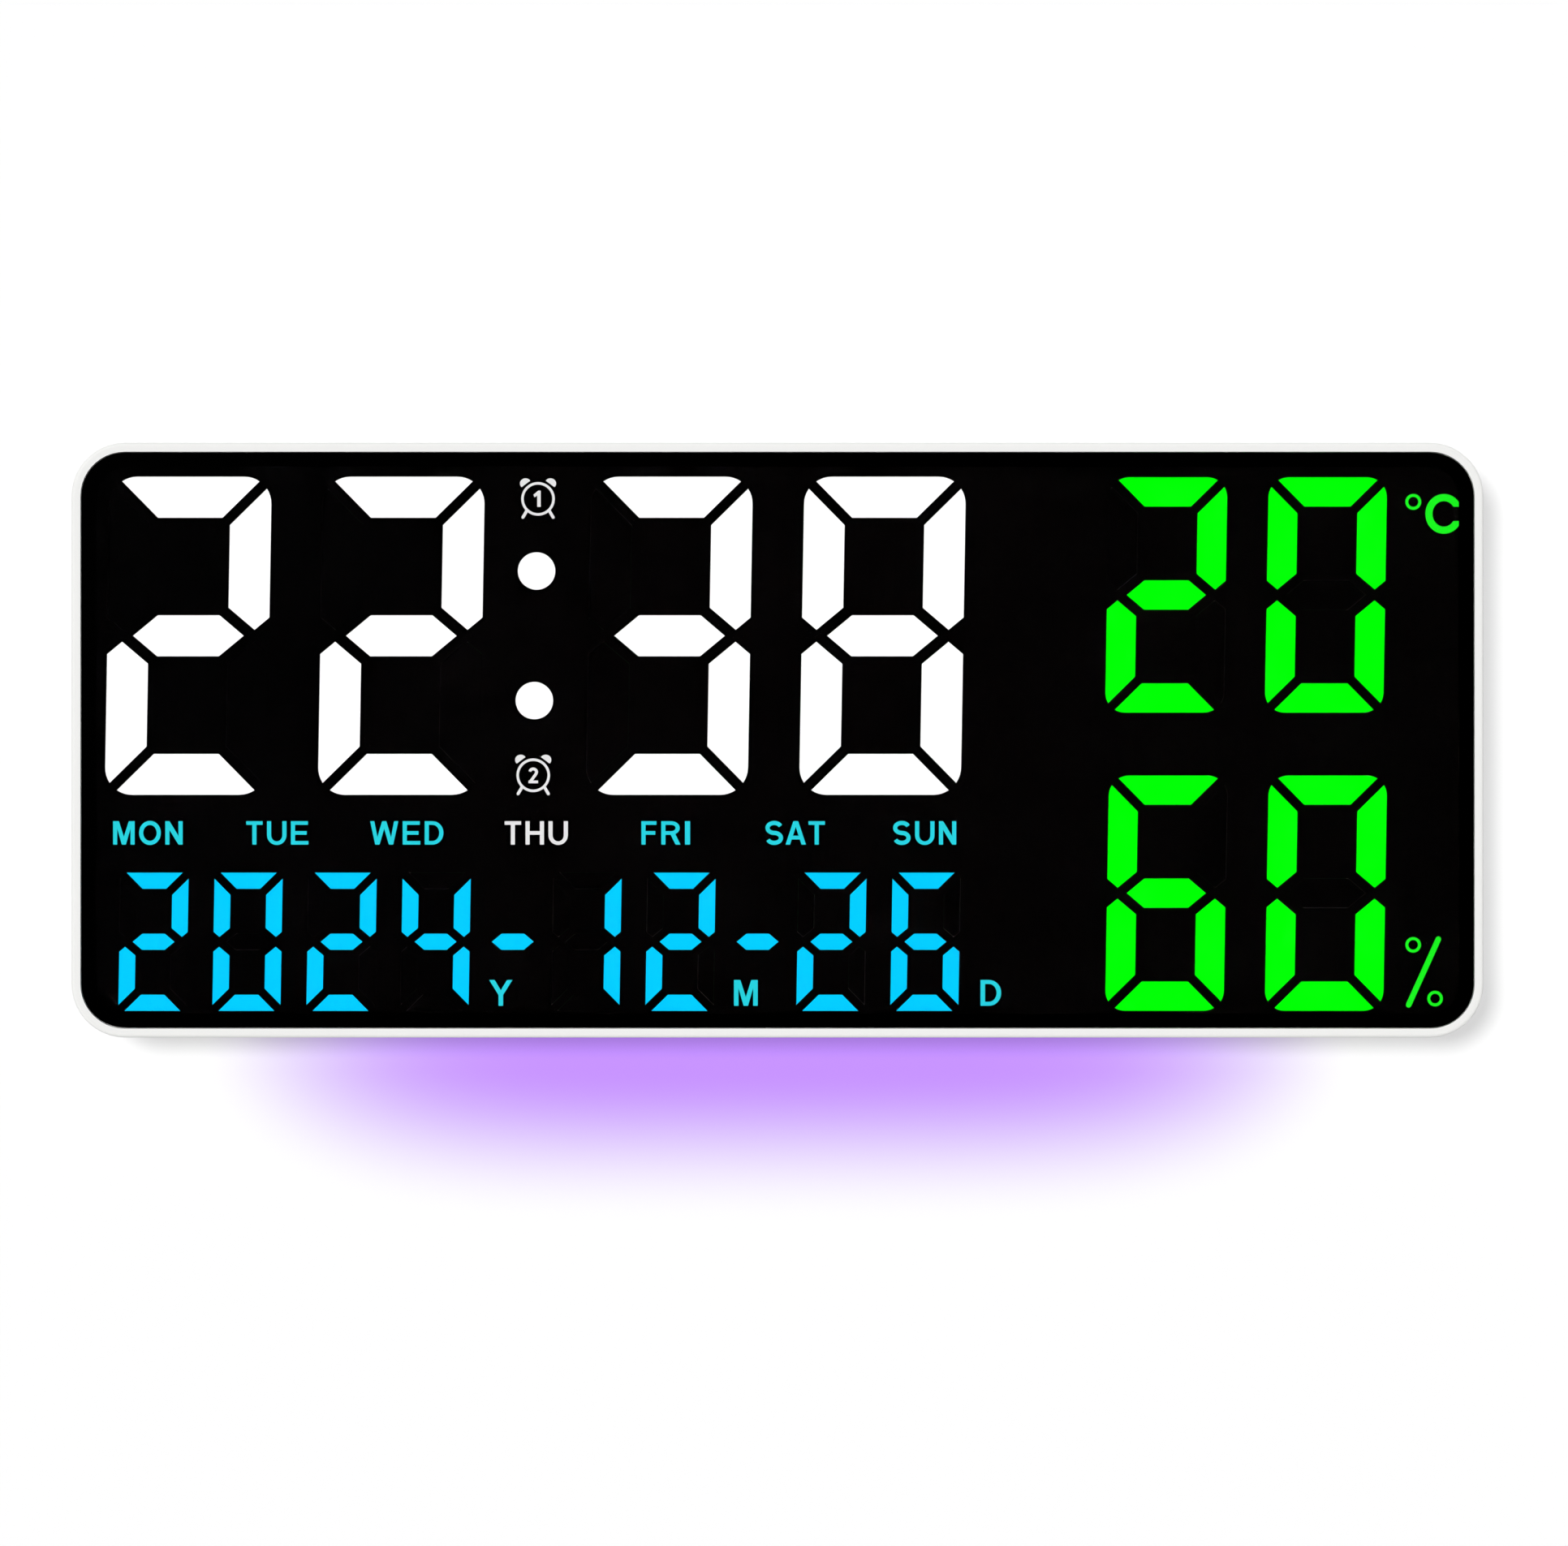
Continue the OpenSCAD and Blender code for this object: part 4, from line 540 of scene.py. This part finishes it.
# One tree sets a row of printed words or signs out at a pitch, and joins the strokes of each into one shape.
# The lit word is found by its place, because the joining keeps no number for each word.
def printRowTree():
    tree = bpy.data.node_groups.new("print row", "GeometryNodeTree")
    sockets = {}
    for name, kind in (("Words", "Collection"), ("Count", "Int"), ("First", "Vector"), ("Pitch", "Float"),
                       ("Lit word", "Int"), ("Print", "Material"), ("Lit print", "Material")):
        socket = tree.interface.new_socket(name, in_out="INPUT", socket_type="NodeSocket" + kind)
        sockets[name] = socket.identifier
    tree.interface.new_socket("Row", in_out="OUTPUT", socket_type="NodeSocketGeometry")
    given = tree.nodes.new("NodeGroupInput").outputs
    step = addNode(tree, "ShaderNodeCombineXYZ", {"X": given["Pitch"]})
    line = addNode(tree, "GeometryNodeMeshLine", {
        "Count": given["Count"], "Start Location": given["First"], "Offset": step.outputs["Vector"]},
        mode="OFFSET")
    words = addNode(tree, "GeometryNodeCollectionInfo", {
        "Collection": given["Words"], "Separate Children": True, "Reset Children": True})
    index = addNode(tree, "GeometryNodeInputIndex").outputs["Index"]
    row = addNode(tree, "GeometryNodeInstanceOnPoints", {
        "Points": line.outputs["Mesh"], "Instance": words.outputs["Instances"], "Pick Instance": True,
        "Instance Index": index})
    real = addNode(tree, "GeometryNodeRealizeInstances", {"Geometry": row.outputs["Instances"]})
    joined = addNode(tree, "GeometryNodeMeshBoolean", {
        "Mesh 2": real.outputs["Geometry"], "Self Intersection": True}, operation="UNION", solver="EXACT")
    printed = addNode(tree, "GeometryNodeSetMaterial", {
        "Geometry": joined.outputs["Mesh"], "Material": given["Print"]})
    place = addNode(tree, "GeometryNodeInputPosition").outputs["Position"]
    along = addNode(tree, "ShaderNodeVectorMath", {0: place, 1: given["First"]}, operation="SUBTRACT")
    across = addNode(tree, "ShaderNodeSeparateXYZ", {"Vector": along.outputs["Vector"]})
    steps = addNode(tree, "ShaderNodeMath", {0: across.outputs["X"], 1: given["Pitch"]}, operation="DIVIDE")
    number = addNode(tree, "ShaderNodeMath", {0: steps.outputs["Value"]}, operation="ROUND")
    isLit = addNode(tree, "FunctionNodeCompare", {
        compareThis: number.outputs["Value"], compareThat: given["Lit word"]}, data_type="INT",
        operation="EQUAL")
    lit = addNode(tree, "GeometryNodeSetMaterial", {
        "Geometry": printed.outputs["Geometry"], "Selection": isLit.outputs["Result"],
        "Material": given["Lit print"]})
    addNode(tree, "NodeGroupOutput", {"Row": lit.outputs["Geometry"]})
    return tree, sockets


rowTree, rowSockets = printRowTree()


# shapes holds the loops of each word; turn lays the row over from the front to another side
def printRow(name, shapes, first, z, ink, pitch=0.0, litWord=-1, litInk=None,
             back=printLayer["back"], turn=0.0, body="case"):
    group = bpy.data.collections.new(name + "Words")
    for i, loops in enumerate(shapes):
        group.objects.link(bpy.data.objects.new("%s%02d" % (name, i), plateMesh(name, loops)))
    carrier = bpy.data.objects.new(name + "Row", bpy.data.meshes.new(name + "Row"))
    scene.collection.objects.link(carrier)
    modifier = carrier.modifiers.new("row", "NODES")
    modifier.node_group = rowTree
    values = {"Words": group, "Count": len(shapes), "First": (first * mm, back * mm, z * mm),
              "Pitch": pitch * mm, "Lit word": litWord, "Print": finishes[ink],
              "Lit print": finishes[litInk or ink]}
    for key, value in values.items():
        modifier[rowSockets[key]] = value
    evaluated = carrier.evaluated_get(bpy.context.evaluated_depsgraph_get())
    mesh = bpy.data.meshes.new_from_object(evaluated)
    mesh.name = name
    mesh.transform(Matrix.Rotation(math.radians(turn), 4, "X"))
    carrier.modifiers.clear()
    bpy.data.objects.remove(carrier)
    for word in list(group.objects):
        bpy.data.objects.remove(word)
    bpy.data.collections.remove(group)
    piece = bpy.data.objects.new(name, mesh)
    scene.collection.objects.link(piece)
    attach(piece, body)


weekdays = {"words": ["MON", "TUE", "WED", "THU", "FRI", "SAT", "SUN"], "cap": 3.9, "first": -104.9,
            "pitch": 21.57, "z": -15.45, "litWord": 3}
printRow("weekdayLegends", [wordLoops(word, weekdays["cap"]) for word in weekdays["words"]],
         weekdays["first"], weekdays["z"], "printCyan", pitch=weekdays["pitch"],
         litWord=weekdays["litWord"], litInk="printWhite")
dateLetters = {"words": ["Y", "M", "D"], "cap": 4.3, "first": -46.1, "pitch": 40.82, "z": -42.1}
printRow("dateLetters", [wordLoops(word, dateLetters["cap"]) for word in dateLetters["words"]],
         dateLetters["first"], dateLetters["z"], "printCyan", pitch=dateLetters["pitch"])
print("stage: words printed")

# Degree sign and letter C
degreeSign = {"x": 105.92, "z": 39.7, "radius": 1.33, "stroke": 0.5, "letterX": 111.02, "letterZ": 37.7,
              "letterW": 6.2, "letterH": 6.45, "letterStroke": 0.185}


def degreeLoops():
    x, z, w, h = [degreeSign["letter" + key] for key in "XZWH"]
    letter = [[(px * h - w / 2 + x, (pz - 0.5) * h + z) for px, pz in loop]
              for loop in letterLoops("C", w / h, degreeSign["letterStroke"])]
    radius = degreeSign["radius"]
    return letter + ring(degreeSign["x"], degreeSign["z"], radius, radius, degreeSign["stroke"])


printRow("degreeSign", [degreeLoops()], 0.0, 0.0, "printGreen")

# Per cent sign
percentSign = {"upper": (105.9, -34.1), "lower": (109.55, -43.05), "radius": 1.3, "stroke": 0.5,
               "slashFrom": (105.15, -44.1), "slashTo": (110.1, -33.15), "slashWidth": 0.92}


def percentLoops():
    radius = percentSign["radius"]
    rings = [loop for x, z in (percentSign["upper"], percentSign["lower"])
             for loop in ring(x, z, radius, radius, percentSign["stroke"])]
    return rings + [roundBar(percentSign["slashFrom"], percentSign["slashTo"], percentSign["slashWidth"])]


printRow("percentSign", [percentLoops()], 0.0, 0.0, "printGreen")

# Alarm signs: a twin-bell clock, with a number inside
alarmSign = {"places": [(-39.9, 40.2), (-40.7, -5.85)], "radius": 2.8, "stroke": 0.42, "bellOut": 3.3,
             "bellRadius": 0.94, "bellFlat": 0.92, "bellAngle": 51, "bellSweep": 96, "legFrom": (1.85, -1.95),
             "legTo": (2.52, -3.08), "legWidth": 0.5, "figureH": 2.65, "figureStroke": 0.18}


def figureLoops(number):  # 1 or 2, in its own heights about its middle
    if number == 1:
        return [[(-0.05, -0.5), (0.17, -0.5), (0.17, 0.52), (0.02, 0.52), (-0.29, 0.26), (-0.22, 0.1),
                 (-0.05, 0.21)]]
    bend = arcPoints(0.0, 0.2, 0.21, 0.2, 170, -35, 14)
    return [ribbon(bend + [(-0.17, -0.39)], alarmSign["figureStroke"]), bar(-0.3, -0.5, 0.3, -0.33)]


def alarmLoops(number):
    loops = ring(0, 0, alarmSign["radius"], alarmSign["radius"], alarmSign["stroke"], count=32)
    bellX, sweep = alarmSign["bellRadius"], alarmSign["bellSweep"]
    bellZ = bellX * alarmSign["bellFlat"]
    for side in (-1, 1):
        middle = 90 - side * (90 - alarmSign["bellAngle"])
        a = math.radians(middle)
        cx, cz = alarmSign["bellOut"] * math.cos(a), alarmSign["bellOut"] * math.sin(a)
        loops.append(arcPoints(cx, cz, bellX, bellZ, middle - sweep, middle + sweep, 16))
        (ax, az), (bx, bz) = alarmSign["legFrom"], alarmSign["legTo"]
        loops.append(roundBar((side * ax, az), (side * bx, bz), alarmSign["legWidth"], count=6))
    h = alarmSign["figureH"]
    return loops + [[(px * h, pz * h) for px, pz in loop] for loop in figureLoops(number)]


for i, (x, z) in enumerate(alarmSign["places"], 1):
    printRow("alarmSign%d" % i, [alarmLoops(i)], x, z, "printWhite")

# Key legends: on top of each button, read from the front
keyLegends = {"words": ["MODE", "SET", "+", "-", "DIM"], "cap": 1.6}
for i, word in zip(keyNumbers, keyLegends["words"]):
    low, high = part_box("button_%d" % i)
    middle = (low + high) / 2 / mm
    printRow("keyLegend%d" % i, [wordLoops(word, keyLegends["cap"])], middle.x, middle.y, "keyInk",
             back=-high.z / mm, turn=-90.0, body="button_%d_body" % i)
print("stage: signs printed")


def stagePlane(name, corners, material):
    mesh = bpy.data.meshes.new(name)
    mesh.from_pydata(corners, [], [(0, 1, 2, 3)])
    mesh.materials.append(material)
    plane = bpy.data.objects.new(name, mesh)
    scene.collection.objects.link(plane)


wall = {
    "y": 0.3, "half": 1500.0, "floor": -300.0, "white": "#FFFFFF",
    "paint": 0.436,  # how much of the light on it the paint gives back
    "ownLight": 0.558,
    # The violet pool is painted light: its colour, where it is full and where it fades out, and how far it
    # reaches
    "paintedPool": "#C593FE", "paintedPoolFull": -55.9, "paintedPoolLow": -82.1, "paintedPoolReach": 99.1,
    "paintedPoolBend": 3.06, "paintedPoolRound": 1.45,  # powers that shape the pool's edge
}


# The wall's white paint. The night light's violet pool below the case is painted light: a tint of the paint,
# so it shows on white.
# Only what looks at its front sees the wall, so that the back of the clock can be looked at too.
def wallPaint():
    material, tree, shader = newMaterial("White wall paint with painted violet glow")
    place = addNode(tree, "ShaderNodeTexCoord").outputs["Object"]
    parts = addNode(tree, "ShaderNodeSeparateXYZ", {"Vector": place})
    # Where the violet light pool is painted: full just below the case, fading downwards and to both sides
    down = addNode(tree, "ShaderNodeMapRange", {
        "Value": parts.outputs["Z"], "From Min": wall["paintedPoolFull"] * mm, "From Max": wall["paintedPoolLow"] * mm})
    side = addNode(tree, "ShaderNodeMath", {0: parts.outputs["X"]}, operation="ABSOLUTE")
    reach = addNode(tree, "ShaderNodeMath", {
        0: side.outputs["Value"], 1: wall["paintedPoolReach"] * mm}, operation="DIVIDE")
    bend = addNode(tree, "ShaderNodeMath", {
        0: reach.outputs["Value"], 1: wall["paintedPoolBend"] * wall["paintedPoolRound"]}, operation="POWER")
    drop = addNode(tree, "ShaderNodeMath", {
        0: down.outputs["Result"], 1: wall["paintedPoolRound"]}, operation="POWER")
    both = addNode(tree, "ShaderNodeMath", {
        0: drop.outputs["Value"], 1: bend.outputs["Value"]}, operation="ADD")
    away = addNode(tree, "ShaderNodeMath", {
        0: both.outputs["Value"], 1: 1 / wall["paintedPoolRound"]}, operation="POWER")
    fade = addNode(tree, "ShaderNodeMapRange", {
        "Value": away.outputs["Value"], "From Min": 1.0, "From Max": 0.0}, interpolation_type="SMOOTHSTEP")
    under = addNode(tree, "ShaderNodeMath", {0: parts.outputs["Z"], 1: 0.0}, operation="LESS_THAN")
    paintedPool = addNode(tree, "ShaderNodeMath", {
        0: fade.outputs["Result"], 1: under.outputs["Value"]}, operation="MULTIPLY")
    # The wall's colour with the painted light pool in it; the wall's own light below takes the same painted
    # violet
    paint = addNode(tree, "ShaderNodeMix", {
        mixShare: paintedPool.outputs["Value"], mixFrom: linear(wall["white"]), mixTo: linear(wall["paintedPool"])},
        data_type="RGBA").outputs[mixResult]
    matt = addNode(tree, "ShaderNodeMix", {
        mixShare: wall["paint"], mixFrom: linear("#000000"), mixTo: paint}, data_type="RGBA")
    coat = addNode(tree, "ShaderNodeBsdfDiffuse", {"Color": matt.outputs[mixResult]})
    own = addNode(tree, "ShaderNodeEmission", {"Color": paint, "Strength": wall["ownLight"]})
    lit = addNode(tree, "ShaderNodeAddShader", {0: coat.outputs["BSDF"], 1: own.outputs["Emission"]})
    clear = addNode(tree, "ShaderNodeBsdfTransparent")
    ray = addNode(tree, "ShaderNodeLightPath").outputs["Is Camera Ray"]
    rear = addNode(tree, "ShaderNodeNewGeometry").outputs["Backfacing"]
    seen = addNode(tree, "ShaderNodeMath", {0: ray, 1: rear}, operation="SUBTRACT", use_clamp=True)
    mix = addNode(tree, "ShaderNodeMixShader", {
        0: seen.outputs["Value"], 1: clear.outputs["BSDF"], 2: lit.outputs["Shader"]})
    tree.links.new(mix.outputs["Shader"], tree.nodes["Material Output"].inputs["Surface"])
    tree.nodes.remove(shader)
    return material


floor = {"paint": "#F2F2F0", "cloud": "#EFEFEC", "cloudSize": 200.0, "ownLight": 0.2}


# Pale floor paint, slightly cloudy from the roller. It is seen only from above, so that the underside can be
# looked at, and it neither lights the object nor shows in the glossy panel.
def floorPaint():
    material, tree, shader = newMaterial("Pale floor paint")
    place = addNode(tree, "ShaderNodeTexCoord").outputs["Object"]
    cloud = addNode(tree, "ShaderNodeTexNoise", {
        "Vector": place, "Scale": 1 / (floor["cloudSize"] * mm), "Detail": 2.0})
    tint = addNode(tree, "ShaderNodeMix", {
        mixShare: cloud.outputs["Fac"], mixFrom: linear(floor["paint"]), mixTo: linear(floor["cloud"])},
        data_type="RGBA")
    tree.links.new(tint.outputs[mixResult], shader.inputs["Base Color"])
    shader.inputs["Roughness"].default_value = 0.8
    shader.inputs["Emission Color"].default_value = linear("#FFFFFF")
    shader.inputs["Emission Strength"].default_value = floor["ownLight"]
    clear = addNode(tree, "ShaderNodeBsdfTransparent")
    ray = addNode(tree, "ShaderNodeLightPath").outputs["Is Camera Ray"]
    under = addNode(tree, "ShaderNodeNewGeometry").outputs["Backfacing"]
    seen = addNode(tree, "ShaderNodeMath", {0: ray, 1: under}, operation="SUBTRACT", use_clamp=True)
    mix = addNode(tree, "ShaderNodeMixShader", {
        0: seen.outputs["Value"], 1: clear.outputs["BSDF"], 2: shader.outputs["BSDF"]})
    tree.links.new(mix.outputs["Shader"], tree.nodes["Material Output"].inputs["Surface"])
    return material


h, y, low = wall["half"] * mm, wall["y"] * mm, wall["floor"] * mm
stagePlane("wall", [(-h, y, low), (h, y, low), (h, y, h), (-h, y, h)], wallPaint())
stagePlane("floor", [(-h, -h, low), (h, -h, low), (h, h, low), (-h, h, low)], floorPaint())
print("stage: wall and floor set")

# Angles and softness are in degrees; flagFull, flagEnd and rearFull are the y of a direction in the world
lights = {
    "key": 2.7, "keyAcross": 9.2, "keyDown": 5.2, "keySoft": 8.0,
    "rear": 1.6, "rearWay": (-0.35, -1.0, -0.6), "rearSoft": 20.0,
    "top": 0.5, "side": 0.5, "under": 0.3, "edgeSoft": 10.0,
    "fill": 0.3, "flag": 0.0, "flagFull": -0.9, "flagEnd": -0.55,
    "mirrored": 0.4, "rearMirrored": 2.6, "rearFull": 0.3,
}


def sun(name, direction, strength, softness):
    lamp = bpy.data.lights.new(name, "SUN")
    lamp.energy = strength
    lamp.angle = math.radians(softness)
    holder = bpy.data.objects.new(name, lamp)
    holder.rotation_euler = Vector(direction).to_track_quat("-Z", "Y").to_euler()
    holder.visible_glossy = False
    scene.collection.objects.link(holder)


across, down = [math.tan(math.radians(lights[key])) for key in ("keyAcross", "keyDown")]
sun("keyLight", (across, 1.0, -down), lights["key"], lights["keySoft"])
sun("rearLight", lights["rearWay"], lights["rear"], lights["rearSoft"])
# These four pass along the front and the wall, so they only light the case's other sides
sun("topLight", (0.0, 0.0, -1.0), lights["top"], lights["edgeSoft"])
sun("leftLight", (1.0, 0.0, 0.0), lights["side"], lights["edgeSoft"])
sun("rightLight", (-1.0, 0.0, 0.0), lights["side"], lights["edgeSoft"])
sun("underLight", (0.0, 0.0, 1.0), lights["under"], lights["edgeSoft"])


# World: white to look at, a soft even fill for the object, and a dark flag behind the camera for the black
# panel, which also mirrors the rest of the world only dimly. Behind the clock it is brighter, for metals.
def studioWorld():
    world = bpy.data.worlds.new("studio")
    world.use_nodes = True
    tree = world.node_tree
    tree.nodes.clear()
    place = addNode(tree, "ShaderNodeTexCoord").outputs["Generated"]
    way = addNode(tree, "ShaderNodeSeparateXYZ", {"Vector": place}).outputs["Y"]
    flag = addNode(tree, "ShaderNodeMapRange", {
        "Value": way, "From Min": lights["flagFull"], "From Max": lights["flagEnd"],
        "To Min": lights["flag"], "To Max": lights["fill"]}, interpolation_type="SMOOTHSTEP")
    rays = addNode(tree, "ShaderNodeLightPath").outputs
    mirrored = addNode(tree, "ShaderNodeMapRange", {
        "Value": way, "From Min": 0.0, "From Max": lights["rearFull"],
        "To Min": lights["mirrored"], "To Max": lights["rearMirrored"]})
    dimmed = addNode(tree, "ShaderNodeMapRange", {
        "Value": rays["Is Glossy Ray"], "To Min": 1.0, "To Max": mirrored.outputs["Result"]})
    level = addNode(tree, "ShaderNodeMath", {
        0: flag.outputs["Result"], 1: dimmed.outputs["Result"]}, operation="MULTIPLY")
    white = linear("#FFFFFF")
    soft = addNode(tree, "ShaderNodeBackground", {"Color": white, "Strength": level.outputs["Value"]})
    plain = addNode(tree, "ShaderNodeBackground", {"Color": white, "Strength": 1.0})
    both = addNode(tree, "ShaderNodeMixShader", {
        0: rays["Is Camera Ray"], 1: soft.outputs["Background"], 2: plain.outputs["Background"]})
    addNode(tree, "ShaderNodeOutputWorld", {"Surface": both.outputs["Shader"]})
    return world


scene.world = studioWorld()

camera = {"lens": 200.0, "sensor": 36.0, "frameWidth": 260.9, "x": 1.08, "z": -5.47, "clipEnd": 20000.0}
eye = bpy.data.cameras.new("camera")
eye.lens = camera["lens"]
eye.sensor_width = camera["sensor"]
eye.clip_end = camera["clipEnd"] * mm
viewer = bpy.data.objects.new("camera", eye)
distance = camera["frameWidth"] * camera["lens"] / camera["sensor"]
viewer.location = (camera["x"] * mm, cadBox[0][1] - distance * mm, camera["z"] * mm)
viewer.rotation_euler = (math.radians(90), 0.0, 0.0)
scene.collection.objects.link(viewer)
scene.camera = viewer
print("stage: light and camera set")
